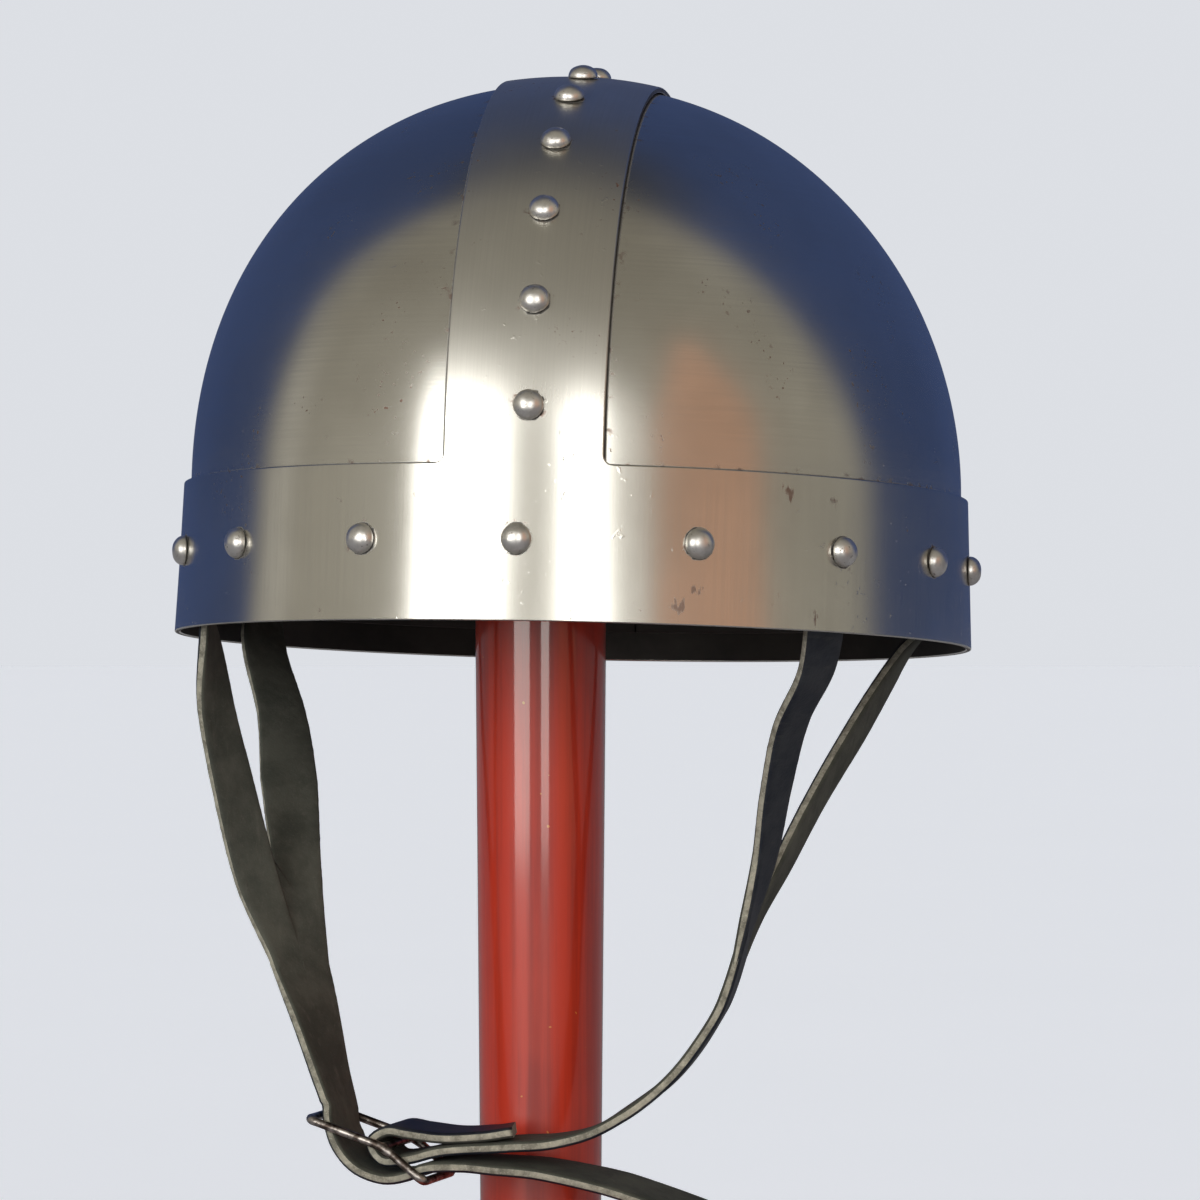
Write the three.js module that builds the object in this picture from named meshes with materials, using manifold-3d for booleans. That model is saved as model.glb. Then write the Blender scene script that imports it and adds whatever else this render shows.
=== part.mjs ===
// A riveted iron helmet of the Viking age kind, on a turned wooden post.
// One band goes round the brow and one strip runs over the crown from front to back. The two are
// welded and ground into a single frame. Two half domes are riveted under it, and a leather chin
// strap hangs from the band in two forked halves that a wire buckle joins.
// Millimetres, +Z up. The helmet faces -Y. The origin is the centre of the stand's underside.
import * as THREE from "three";
import { mergeVertices } from "three/addons/utils/BufferGeometryUtils.js";
import Module from "manifold-3d";

const wasm = await Module();
wasm.setup();

// ---------------------------------------------------------------- dimensions

// Sheet iron. A layer is a distance outside the half domes' outer face.
const PLATE_THICK = 1.4;
const FRAME_THICK = 1.5;
const SHEET_GAP = 0.35;
const PLATE_OUTER = 0;
const PLATE_INNER = PLATE_OUTER - PLATE_THICK;
const FRAME_INNER = PLATE_OUTER + SHEET_GAP;
const FRAME_OUTER = FRAME_INNER + FRAME_THICK;

// The dome, measured to the half domes' outer face, and the band below it.
const DOME_HALF_WIDTH = 101.7;
const DOME_HALF_LENGTH = 118.8;
const DOME_RISE = 108.4;
const DOME_FULLNESS = 2.07;
const FULLNESS_LEAN = 0.085;
const BAND_HEIGHT = 39.3;
const BAND_FLARE = 1.6;
const PLATE_TUCK = 8;
const AROUND = 40;
const UPWARD = 10;
const MERGE_DISTANCE = 1e-4;

// The strip over the crown stands a little towards the wearer's left.
const RIDGE_WIDTH = 40;
const RIDGE_OFFSET = 1.8;
const RIDGE_CORNER = 2.5;
const RIDGE_CORNER_STEPS = 3;
const RIDGE_CURVE_STEPS = 90;

// Rivets. The smith set the brow rivets by eye: degrees from the front, towards the wearer's left.
const RIVET_HEAD_RADIUS = 4;
const RIVET_HEAD_HEIGHT = 3.4;
const RIVET_SHANK_RADIUS = 1.9;
const RIVET_HOLE_RADIUS = 2.25;
const RIVET_TAIL_RADIUS = 3.3;
const RIVET_TAIL_HEIGHT = 1.3;
const RIVET_TAIL_FACE = 0.85;
const RIVET_HEAD_GAP = 0.12;
const RIVET_TAIL_GAP = 1.1;
const RIVET_SIDES = 8;
const RIVET_ARC_STEPS = 2;
const DRILL_LENGTH = 30;
const BROW_RIVET_HEIGHT = 20.4;
const BROW_RIVET_DEGREES = [
  0.5, 25.6, 48.6, 70.4, 90, 111.5, 134.5, 157.5, 181, 204, 226, 247, 263, 292, 313.5, 337.8,
];
const RIDGE_RIVETS = 12;
const RIDGE_RIVET_FIRST = 33.4;
const RIDGE_RIVET_STEP = 27.8;
const RIDGE_RIVET_OFFSET = 3;

// How the helmet sits on the post.
const RIM_HEIGHT = 250;
const HELMET_ACROSS = 6.9;
const HELMET_BACK = 15;
const HELMET_PITCH = -2.86;
const HELMET_ROLL = 0.85;

// Leather.
const STRAP_THICK = 2.8;
const STRAP_WIDTH = 20;
const LEG_WIDTH = 12.5;
const STRAP_WALL_GAP = 1.3;
const STRAP_TAB = 9;
const STRAP_TURN = 7.2;
const STRAP_STEPS = 3;
const EDGE_PROBE = 0.01;

// The buckle is bent from round wire.
const WIRE_RADIUS = 1.1;
const BUCKLE_WIDTH = 24;
const BUCKLE_CORNER = 3;
const BUCKLE_STEPS = 44;
const WIRE_SIDES = 6;

// The stand.
const BASE_RADIUS = 105;
const BASE_THICK = 22;
const BASE_EDGE = 5;
const POST_RADIUS_AT_RIM = 17.2;
const POST_TAPER = 0.0086;
const POST_TOP = RIM_HEIGHT + 140;
const POST_ROUNDING = 6;
const SPIGOT_RADIUS = 12;
const SOCKET_CLEARANCE = 0.3;
const SOCKET_FLOOR = 6;
const TURNED_SIDES = 32;
const TURNED_ARC_STEPS = 4;

// ---------------------------------------------------------------- materials

const steel = new THREE.MeshStandardMaterial({ color: 0xb4b2ad, roughness: 0.3, metalness: 1 });
const rivetIron = new THREE.MeshStandardMaterial({ color: 0x8d8c88, roughness: 0.4, metalness: 1 });
const leather = new THREE.MeshStandardMaterial({ color: 0x45443c, roughness: 0.75, metalness: 0 });
const wire = new THREE.MeshStandardMaterial({ color: 0x8a8580, roughness: 0.35, metalness: 1 });
const lacquer = new THREE.MeshStandardMaterial({ color: 0xa8321a, roughness: 0.25, metalness: 0 });

// ---------------------------------------------------------------- helpers

// A closed geometry as a solid that can be joined and cut.
function toSolid(geometry) {
  const plain = geometry.clone();
  plain.deleteAttribute("normal");
  plain.deleteAttribute("uv");
  const merged = mergeVertices(plain, MERGE_DISTANCE);
  return new wasm.Manifold(
    new wasm.Mesh({
      numProp: 3,
      vertProperties: new Float32Array(merged.attributes.position.array),
      triVerts: new Uint32Array(merged.index.array),
    }),
  );
}

// A solid back as a geometry.
function toGeometry(solid) {
  const mesh = solid.getMesh();
  return indexedGeometry(Array.from(mesh.vertProperties), Array.from(mesh.triVerts));
}

function indexedGeometry(positions, triangles) {
  const geometry = new THREE.BufferGeometry();
  geometry.setAttribute("position", new THREE.Float32BufferAttribute(positions, 3));
  geometry.setIndex(triangles);
  geometry.computeVertexNormals();
  return geometry;
}

function named(name, geometry, material) {
  const mesh = new THREE.Mesh(geometry, material);
  mesh.name = name;
  return mesh;
}

function numbered(name, index) {
  return `${name}_${String(index + 1).padStart(2, "0")}`;
}

// A skin over a row of rings, each ring a list of points in the same turning order.
// The ends are closed by a point each, or by a flat cap where no point is given.
function skinRings(rings, firstPoint, lastPoint) {
  const count = rings[0].length;
  const points = rings.flat();
  const triangles = [];
  const link = (row, next, a, b) => {
    triangles.push(row + a, next + a, next + b);
    triangles.push(row + a, next + b, row + b);
  };
  for (let row = 0; row + 1 < rings.length; row++) {
    for (let i = 0; i < count; i++) {
      link(row * count, (row + 1) * count, i, (i + 1) % count);
    }
  }
  const lastRow = (rings.length - 1) * count;
  const close = (row, point, flipped) => {
    if (point) {
      points.push(point);
    }
    const hub = point ? points.length - 1 : row;
    for (let i = 0; i < count; i++) {
      const a = row + i;
      const b = row + ((i + 1) % count);
      if (a === hub || b === hub) {
        continue;
      }
      triangles.push(hub, flipped ? b : a, flipped ? a : b);
    }
  };
  close(0, firstPoint, false);
  close(lastRow, lastPoint, true);
  return indexedGeometry(points.flatMap((p) => [p.x, p.y, p.z]), triangles);
}

// ---------------------------------------------------------------- the helmet's surface

// The wearer's right side of the dome is a little fuller than the left.
function fullness(turn) {
  return DOME_FULLNESS - FULLNESS_LEAN * Math.sin(turn);
}

// A point on the band: turn is measured from the front, towards the wearer's left.
function bandPoint(turn, height, layer) {
  const grow = layer + BAND_FLARE * (1 - height / BAND_HEIGHT);
  return new THREE.Vector3(
    (DOME_HALF_WIDTH + grow) * Math.sin(turn),
    -(DOME_HALF_LENGTH + grow) * Math.cos(turn),
    height,
  );
}

// A point on the dome: lift goes from 0 at the band's top edge to a right angle at the crown.
function domePoint(turn, lift, layer) {
  const power = 2 / fullness(turn);
  const inward = Math.cos(lift) ** power;
  return new THREE.Vector3(
    (DOME_HALF_WIDTH + layer) * inward * Math.sin(turn),
    -(DOME_HALF_LENGTH + layer) * inward * Math.cos(turn),
    BAND_HEIGHT + (DOME_RISE + layer) * Math.sin(lift) ** power,
  );
}

// The rings of one layer, from the crown down to a bottom edge.
function layerRings(layer, bottom) {
  const turns = Array.from({ length: AROUND }, (_, i) => (i / AROUND) * 2 * Math.PI);
  const rings = [];
  for (let step = UPWARD - 1; step >= 0; step--) {
    const lift = (step / UPWARD) * (Math.PI / 2);
    rings.push(turns.map((turn) => domePoint(turn, lift, layer)));
  }
  rings.push(turns.map((turn) => bandPoint(turn, bottom, layer)));
  return rings;
}

// The whole cap of sheet between two layers.
function capSolid(outer, inner, bottom) {
  const rings = [...layerRings(outer, bottom), ...layerRings(inner, bottom).reverse()];
  const crown = (layer) => new THREE.Vector3(0, 0, BAND_HEIGHT + DOME_RISE + layer);
  return toSolid(skinRings(rings, crown(outer), crown(inner)));
}

// ---------------------------------------------------------------- rivets

// Where each rivet sits on the frame's outer face, and which way it points.
function browSpot(degrees) {
  const turn = THREE.MathUtils.degToRad(degrees);
  const out = new THREE.Vector3(Math.sin(turn) / DOME_HALF_WIDTH, -Math.cos(turn) / DOME_HALF_LENGTH, 0);
  return { turn, at: bandPoint(turn, BROW_RIVET_HEIGHT, FRAME_OUTER), out: out.normalize() };
}

// The middle of the strip, from the front brow rivet over the crown to the back one.
function ridgeCurve() {
  const points = [bandPoint(0, BROW_RIVET_HEIGHT, FRAME_OUTER)];
  for (let i = 0; i <= RIDGE_CURVE_STEPS; i++) {
    const angle = (i / RIDGE_CURVE_STEPS) * Math.PI;
    const turn = angle > Math.PI / 2 ? Math.PI : 0;
    points.push(domePoint(turn, Math.min(angle, Math.PI - angle), FRAME_OUTER));
  }
  points.push(bandPoint(Math.PI, BROW_RIVET_HEIGHT, FRAME_OUTER));
  points.forEach((point) => point.setX(RIDGE_RIVET_OFFSET));
  return new THREE.CatmullRomCurve3(points);
}

function ridgeSpots() {
  const curve = ridgeCurve();
  const length = curve.getLength();
  return Array.from({ length: RIDGE_RIVETS }, (_, i) => {
    const along = (RIDGE_RIVET_FIRST + i * RIDGE_RIVET_STEP) / length;
    const tangent = curve.getTangentAt(along);
    return { at: curve.getPointAt(along), out: new THREE.Vector3(0, -tangent.z, tangent.y) };
  });
}

// A set rivet: round head outside, plain shank, flat hammered tail inside.
function rivetGeometry(grip) {
  const tail = -(grip + RIVET_TAIL_GAP);
  const profile = [
    new THREE.Vector2(0, tail - RIVET_TAIL_HEIGHT),
    new THREE.Vector2(RIVET_TAIL_RADIUS * RIVET_TAIL_FACE, tail - RIVET_TAIL_HEIGHT),
    new THREE.Vector2(RIVET_TAIL_RADIUS, tail),
    new THREE.Vector2(RIVET_SHANK_RADIUS, tail),
    new THREE.Vector2(RIVET_SHANK_RADIUS, RIVET_HEAD_GAP),
  ];
  for (let i = 0; i <= RIVET_ARC_STEPS; i++) {
    const angle = (i / RIVET_ARC_STEPS) * (Math.PI / 2);
    const radius = i === RIVET_ARC_STEPS ? 0 : RIVET_HEAD_RADIUS * Math.cos(angle);
    profile.push(new THREE.Vector2(radius, RIVET_HEAD_GAP + RIVET_HEAD_HEIGHT * Math.sin(angle)));
  }
  return new THREE.LatheGeometry(profile, RIVET_SIDES);
}

function standOn(object, spot) {
  object.position.copy(spot.at);
  object.quaternion.setFromUnitVectors(new THREE.Vector3(0, 1, 0), spot.out);
  return object;
}

// The hole that a rivet needs, as a solid to cut with.
function holeSolid(spot) {
  const pin = new THREE.CylinderGeometry(
    RIVET_HOLE_RADIUS, RIVET_HOLE_RADIUS, DRILL_LENGTH, RIVET_SIDES,
  );
  const holder = standOn(new THREE.Object3D(), spot);
  holder.updateMatrix();
  return toSolid(pin.applyMatrix4(holder.matrix));
}

function drill(solid, spots) {
  return spots.reduce((rest, spot) => rest.subtract(holeSolid(spot)), solid);
}

// ---------------------------------------------------------------- frame and half domes

// Everything beside the strip and above the band, on one side, with a rounded lower corner.
function windowSolid(side) {
  const far = 2 * DOME_HALF_WIDTH;
  const top = 2 * (BAND_HEIGHT + DOME_RISE);
  const edge = RIDGE_WIDTH / 2 + side * RIDGE_OFFSET;
  const outline = new THREE.Shape();
  outline.moveTo(side * edge, top);
  outline.lineTo(side * edge, BAND_HEIGHT + RIDGE_CORNER);
  outline.quadraticCurveTo(side * edge, BAND_HEIGHT, side * (edge + RIDGE_CORNER), BAND_HEIGHT);
  outline.lineTo(side * far, BAND_HEIGHT);
  outline.lineTo(side * far, top);
  const length = 4 * DOME_HALF_LENGTH;
  const settings = { depth: length, bevelEnabled: false, curveSegments: RIDGE_CORNER_STEPS };
  const block = new THREE.ExtrudeGeometry(outline, settings);
  block.rotateX(Math.PI / 2).translate(0, length / 2, 0);
  return toSolid(block);
}

function frameGeometry(spots) {
  const cap = capSolid(FRAME_OUTER, FRAME_INNER, 0);
  const frame = cap.subtract(windowSolid(1)).subtract(windowSolid(-1));
  return toGeometry(drill(frame, spots));
}

// One half dome. The two meet edge to edge under the middle of the strip.
function plateGeometry(side, spots) {
  const cap = capSolid(PLATE_OUTER, PLATE_INNER, PLATE_TUCK);
  const size = 4 * DOME_HALF_LENGTH;
  const halfGap = SHEET_GAP / 2;
  const otherHalf = new THREE.BoxGeometry(size, size, size);
  otherHalf.translate(RIDGE_OFFSET + side * (halfGap - size / 2), 0, 0);
  return toGeometry(drill(cap.subtract(toSolid(otherHalf)), spots));
}

// ---------------------------------------------------------------- leather

// A strap along a row of stations, each with its middle, the way its width lies and its width.
function strapGeometry(stations, steps = STRAP_STEPS) {
  const centre = new THREE.CatmullRomCurve3(stations.map((station) => station.at));
  const across = new THREE.CatmullRomCurve3(stations.map((station) => station.side));
  const count = (stations.length - 1) * steps;
  const rings = [];
  for (let i = 0; i <= count; i++) {
    const t = i / count;
    const spot = Math.min(Math.floor(t * (stations.length - 1)), stations.length - 2);
    const within = t * (stations.length - 1) - spot;
    const width = THREE.MathUtils.lerp(stations[spot].width, stations[spot + 1].width, within);
    const along = centre.getTangent(t);
    const side = across.getPoint(t);
    side.addScaledVector(along, -side.dot(along)).setLength(width / 2);
    const face = new THREE.Vector3().crossVectors(along, side).setLength(STRAP_THICK / 2);
    const middle = centre.getPoint(t);
    const corner = (a, b) => middle.clone().addScaledVector(side, a).addScaledVector(face, b);
    rings.push([corner(1, 1), corner(-1, 1), corner(-1, -1), corner(1, -1)]);
  }
  return skinRings(rings.reverse(), null, null);
}

// Stations are written as [middle], [width direction], width, across, back and up in millimetres
// from the rim's centre, in a frame that the hanging strap shares.
function station(at, side, width = STRAP_WIDTH) {
  return { at: new THREE.Vector3(...at), side: new THREE.Vector3(...side).normalize(), width };
}

// The first stretch of a leg lies against the half dome's inner face, held by a brow rivet.
// It is worked out in the helmet's frame and brought into the strap's.
function tabStations(degrees, toStrap) {
  const { turn } = browSpot(degrees);
  const layer = PLATE_INNER - STRAP_WALL_GAP - STRAP_THICK / 2;
  return [STRAP_TAB, 0, -STRAP_TAB].map((rise) => {
    const height = BROW_RIVET_HEIGHT + rise;
    const at = bandPoint(turn, height, layer);
    const side = bandPoint(turn + EDGE_PROBE, height, layer).sub(at);
    side.multiplyScalar(turn > Math.PI ? -1 : 1);
    return { at: at.applyMatrix4(toStrap), side: side.transformDirection(toStrap), width: LEG_WIDTH };
  });
}

const RIGHT_FRONT_TURN = 292;
const RIGHT_BACK_TURN = 247;
const LEFT_FRONT_TURN = 48.6;
const LEFT_BACK_TURN = 111.5;
const STRAP_TURNS = [RIGHT_FRONT_TURN, RIGHT_BACK_TURN, LEFT_FRONT_TURN, LEFT_BACK_TURN];

// The wearer's right half: two legs meet below the ear, run down into the buckle's first window,
// under its middle bar, up through the second window and over its end, to a free tail.
const RIGHT_FRONT_LEG = [
  station([-95, -33, 3], [0.15, 0.98, 0], LEG_WIDTH),
  station([-93.5, -30, -15.6], [0.62, 0.78, 0], LEG_WIDTH),
  station([-89.5, -27, -35.3], [0.75, 0.65, 0], LEG_WIDTH),
  station([-82.8, -25.5, -62], [0.85, 0.5, 0], 11),
  station([-76.4, -25.5, -80], [0.8, 0.6, 0], 10),
];
const RIGHT_BACK_LEG = [
  station([-84.4, 44, -1], [0.7, 0.7, 0], 13.5),
  station([-78.6, 24, -20], [0.9, 0.43, 0], 13.5),
  station([-75.4, 4, -37], [0.95, 0.3, 0], 13.5),
  station([-72.4, -14, -62], [0.88, 0.47, 0], 11),
  station([-69.6, -20.5, -80], [0.8, 0.6, 0], 10),
];
const RIGHT_RUN = [
  station([-78.5, -20.5, -56], [0.88, 0.47, 0], 22),
  station([-75, -22, -70], [0.82, 0.57, 0], 21),
  station([-71.6, -25.5, -84], [0.7, 0.7, 0]),
  station([-67.1, -32, -98.5], [0.5, 0.86, 0]),
  station([-63.8, -36, -110], [0.38, 0.92, 0]),
  station([-60.8, -38.5, -119.9], [0.3, 0.95, 0.03]),
  station([-59.7, -40.5, -125.2], [0.3, 0.95, 0.03]),
  station([-57.4, -42.8, -130.6], [0.3, 0.95, 0.03]),
  station([-53.1, -44.5, -135], [0.3, 0.95, 0.03]),
  station([-46, -45.6, -137.4], [0.3, 0.95, 0.03]),
  station([-40.3, -46.6, -136.7], [0.3, 0.95, 0.03]),
  station([-35.3, -48, -134.6], [0.3, 0.95, 0.03]),
  station([-27, -49.5, -134], [0.28, 0.96, 0.04]),
  station([-18.6, -50, -134.5], [0.26, 0.96, 0.06]),
  station([-8.3, -50, -135.4], [0.25, 0.96, 0.07]),
  station([5, -49.5, -138], [0.22, 0.97, 0.1]),
  station([12, -49, -139.8], [0.2, 0.97, 0.12]),
  station([23, -48, -143.4], [0.2, 0.97, 0.12]),
  station([38, -47, -149], [0.2, 0.97, 0.12]),
];

// The wearer's left half: two legs meet and run down to the buckle's middle bar, round it from
// below, and back over themselves.
const LEFT_FRONT_LEG = [
  station([62.2, -72, -5.9], [0.7, 0.7, 0.1], LEG_WIDTH),
  station([55.9, -61, -20.3], [0.68, 0.7, 0.2], LEG_WIDTH),
  station([52.2, -50.5, -38], [0.6, 0.75, 0.25], 12),
  station([49.6, -42.5, -55], [0.48, 0.85, 0.15], 11),
  station([47, -43.5, -72], [0.25, 0.97, 0], 10),
];
const LEFT_BACK_LEG = [
  station([86.5, 18, -5.9], [0, 0.9, -0.4], LEG_WIDTH),
  station([75.4, 0, -22.5], [0.05, 0.75, -0.65], LEG_WIDTH),
  station([64.2, -16.5, -40], [0.1, 0.8, -0.55], 11.5),
  station([55, -29, -56.5], [0.2, 0.9, -0.35], 11),
  station([47.8, -34.5, -72], [0.25, 0.97, 0], 10),
];
const LEFT_RUN = [
  station([49.4, -37.5, -60], [0.35, 0.93, 0]),
  station([46.4, -39.5, -70], [0.22, 0.97, 0]),
  station([44.2, -41.5, -78], [0.1, 0.99, 0]),
  station([39, -44.5, -92.6], [0.1, 0.99, 0]),
  station([32.2, -46.5, -104], [0.1, 0.99, 0]),
  station([24.3, -48, -113.2], [0.1, 0.99, 0]),
  station([11.7, -49, -122.6], [0.1, 0.99, 0]),
  station([5.2, -49.4, -126], [0.16, 0.98, 0]),
  station([-4, -49.8, -128.2], [0.22, 0.97, 0.02]),
  station([-15.8, -50, -129], [0.28, 0.95, 0.03]),
  station([-31, -48.6, -130.1], [0.3, 0.95, 0.03]),
  station([-39.8, -46.2, -132.3], [0.3, 0.95, 0.03]),
  station([-46.6, -44.2, -132.7], [0.3, 0.95, 0.03]),
  station([-49.3, -43.3, -128.2], [0.3, 0.95, 0.03]),
  station([-45.4, -44.6, -125.2], [0.3, 0.95, 0.03]),
  station([-39.8, -46.2, -125.8], [0.3, 0.95, 0.03]),
  station([-31, -48.6, -126.7], [0.3, 0.95, 0.03]),
  station([-21, -49.8, -126.2], [0.29, 0.95, 0.03]),
  station([-15.2, -50, -125.4], [0.28, 0.95, 0.03]),
];

// One half of the chin strap: its run and both its legs, cut from one piece of leather.
function strapHalf(run, legs, toStrap) {
  const pieces = legs.map((leg) => {
    return toSolid(strapGeometry([...tabStations(leg.degrees, toStrap), ...leg.stations]));
  });
  return pieces.reduce((joined, piece) => joined.add(piece), toSolid(strapGeometry(run)));
}

// ---------------------------------------------------------------- buckle

// Corners of the frame's near side, which is bent a little at the middle bar.
const BUCKLE_FIRST = new THREE.Vector3(-68.4, -50.1, -122.6);
const BUCKLE_MIDDLE = new THREE.Vector3(-48.9, -56, -129.4);
const BUCKLE_LAST = new THREE.Vector3(-38.5, -59, -138.1);
const BUCKLE_ACROSS = new THREE.Vector3(0.3, 0.95, 0.03).normalize();

// A closed loop through some corners, each rounded.
function roundedLoop(corners, radius) {
  const path = new THREE.CurvePath();
  const towards = (from, to) => from.clone().add(to.clone().sub(from).setLength(radius));
  corners.forEach((corner, i) => {
    const before = corners[(i + corners.length - 1) % corners.length];
    const after = corners[(i + 1) % corners.length];
    const leaving = towards(corner, after);
    path.add(new THREE.QuadraticBezierCurve3(towards(corner, before), corner, leaving));
    path.add(new THREE.LineCurve3(leaving, towards(after, corner)));
  });
  return path;
}

function buckleGeometry() {
  const shift = BUCKLE_ACROSS.clone().multiplyScalar(BUCKLE_WIDTH);
  const near = [BUCKLE_FIRST, BUCKLE_MIDDLE, BUCKLE_LAST];
  const far = near.map((corner) => corner.clone().add(shift)).reverse();
  const path = roundedLoop([...near, ...far], BUCKLE_CORNER);
  const loop = new THREE.TubeGeometry(path, BUCKLE_STEPS, WIRE_RADIUS, WIRE_SIDES, true);
  const bar = new THREE.CylinderGeometry(WIRE_RADIUS, WIRE_RADIUS, BUCKLE_WIDTH, WIRE_SIDES);
  const holder = new THREE.Object3D();
  holder.quaternion.setFromUnitVectors(new THREE.Vector3(0, 1, 0), BUCKLE_ACROSS);
  holder.position.copy(BUCKLE_MIDDLE).addScaledVector(shift, 0.5);
  holder.updateMatrix();
  return toGeometry(toSolid(loop).add(toSolid(bar.applyMatrix4(holder.matrix))));
}

// ---------------------------------------------------------------- stand

function turned(profile) {
  const points = profile.map(([radius, height]) => new THREE.Vector2(radius, height));
  return new THREE.LatheGeometry(points, TURNED_SIDES).rotateX(Math.PI / 2);
}

function postRadius(height) {
  return POST_RADIUS_AT_RIM + POST_TAPER * (height - RIM_HEIGHT);
}

// A tapered post with a rounded top and a spigot at its foot.
function postGeometry() {
  const foot = BASE_THICK + SOCKET_CLEARANCE;
  const profile = [
    [0, SOCKET_FLOOR + SOCKET_CLEARANCE],
    [SPIGOT_RADIUS, SOCKET_FLOOR + SOCKET_CLEARANCE],
    [SPIGOT_RADIUS, foot],
    [postRadius(foot), foot],
  ];
  const shoulder = POST_TOP - POST_ROUNDING;
  for (let i = 0; i <= TURNED_ARC_STEPS; i++) {
    const angle = (i / TURNED_ARC_STEPS) * (Math.PI / 2);
    const radius = postRadius(shoulder) - POST_ROUNDING * (1 - Math.cos(angle));
    profile.push([radius, shoulder + POST_ROUNDING * Math.sin(angle)]);
  }
  profile.push([0, POST_TOP]);
  return turned(profile);
}

// A round base with a softened upper edge and a socket for the post.
function baseGeometry() {
  const socket = SPIGOT_RADIUS + SOCKET_CLEARANCE;
  const profile = [
    [0, 0],
    [BASE_RADIUS, 0],
  ];
  for (let i = 0; i <= TURNED_ARC_STEPS; i++) {
    const angle = (i / TURNED_ARC_STEPS) * (Math.PI / 2);
    const radius = BASE_RADIUS - BASE_EDGE * (1 - Math.cos(angle));
    profile.push([radius, BASE_THICK - BASE_EDGE * (1 - Math.sin(angle))]);
  }
  profile.push([socket, BASE_THICK], [socket, SOCKET_FLOOR], [0, SOCKET_FLOOR]);
  return turned(profile);
}

// ---------------------------------------------------------------- assembly

const object = new THREE.Group();
const helmet = new THREE.Group();
const chinStrap = new THREE.Group();
object.add(helmet, chinStrap);

helmet.position.set(HELMET_ACROSS, HELMET_BACK, RIM_HEIGHT);
helmet.rotation.set(THREE.MathUtils.degToRad(HELMET_PITCH), THREE.MathUtils.degToRad(HELMET_ROLL), 0);
chinStrap.position.copy(helmet.position);
chinStrap.rotation.z = THREE.MathUtils.degToRad(STRAP_TURN);
object.updateMatrixWorld(true);
const toStrap = chinStrap.matrixWorld.clone().invert().multiply(helmet.matrixWorld);

const browSpots = BROW_RIVET_DEGREES.map(browSpot);
const crownSpots = ridgeSpots();
const allSpots = [...browSpots, ...crownSpots];
helmet.add(named("helmet_frame", frameGeometry(allSpots), steel));
helmet.add(named("plate_left", plateGeometry(1, allSpots), steel));
helmet.add(named("plate_right", plateGeometry(-1, allSpots), steel));

const sheetGrip = FRAME_OUTER - PLATE_INNER;
const strapGrip = sheetGrip + STRAP_WALL_GAP + STRAP_THICK;
browSpots.forEach((spot, i) => {
  const grip = STRAP_TURNS.includes(BROW_RIVET_DEGREES[i]) ? strapGrip : sheetGrip;
  helmet.add(standOn(named(numbered("brow_rivet", i), rivetGeometry(grip), rivetIron), spot));
});
crownSpots.forEach((spot, i) => {
  helmet.add(standOn(named(numbered("ridge_rivet", i), rivetGeometry(sheetGrip), rivetIron), spot));
});

function addStrapHalf(name, run, legs) {
  const holes = legs.map((leg) => {
    const spot = browSpot(leg.degrees);
    return { at: spot.at.applyMatrix4(toStrap), out: spot.out.transformDirection(toStrap) };
  });
  chinStrap.add(named(name, toGeometry(drill(strapHalf(run, legs, toStrap), holes)), leather));
}
addStrapHalf("strap_right", RIGHT_RUN, [
  { degrees: RIGHT_FRONT_TURN, stations: RIGHT_FRONT_LEG },
  { degrees: RIGHT_BACK_TURN, stations: RIGHT_BACK_LEG },
]);
addStrapHalf("strap_left", LEFT_RUN, [
  { degrees: LEFT_FRONT_TURN, stations: LEFT_FRONT_LEG },
  { degrees: LEFT_BACK_TURN, stations: LEFT_BACK_LEG },
]);
chinStrap.add(named("buckle", buckleGeometry(), wire));

object.add(named("stand_post", postGeometry(), lacquer));
object.add(named("stand_base", baseGeometry(), lacquer));

export default object;
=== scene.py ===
# %% [markdown]
# # An iron helmet on its post
#
# The real object is a small pile of crafts. Two half domes of sheet iron are riveted under one
# frame, which is a brow band and a crown strip welded into a single piece. A leather chin strap
# hangs from the band in two forked halves, and a wire buckle joins them. The whole thing sits on
# a lacquered wooden post.
#
# The measured model is loaded first and never moved. Every piece made below takes the place of
# one measured part, so its shape can be finer but its place is already settled.

# %% Load the measured model
import math

import bmesh
import bpy
from mathutils import Matrix, Vector, noise


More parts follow.
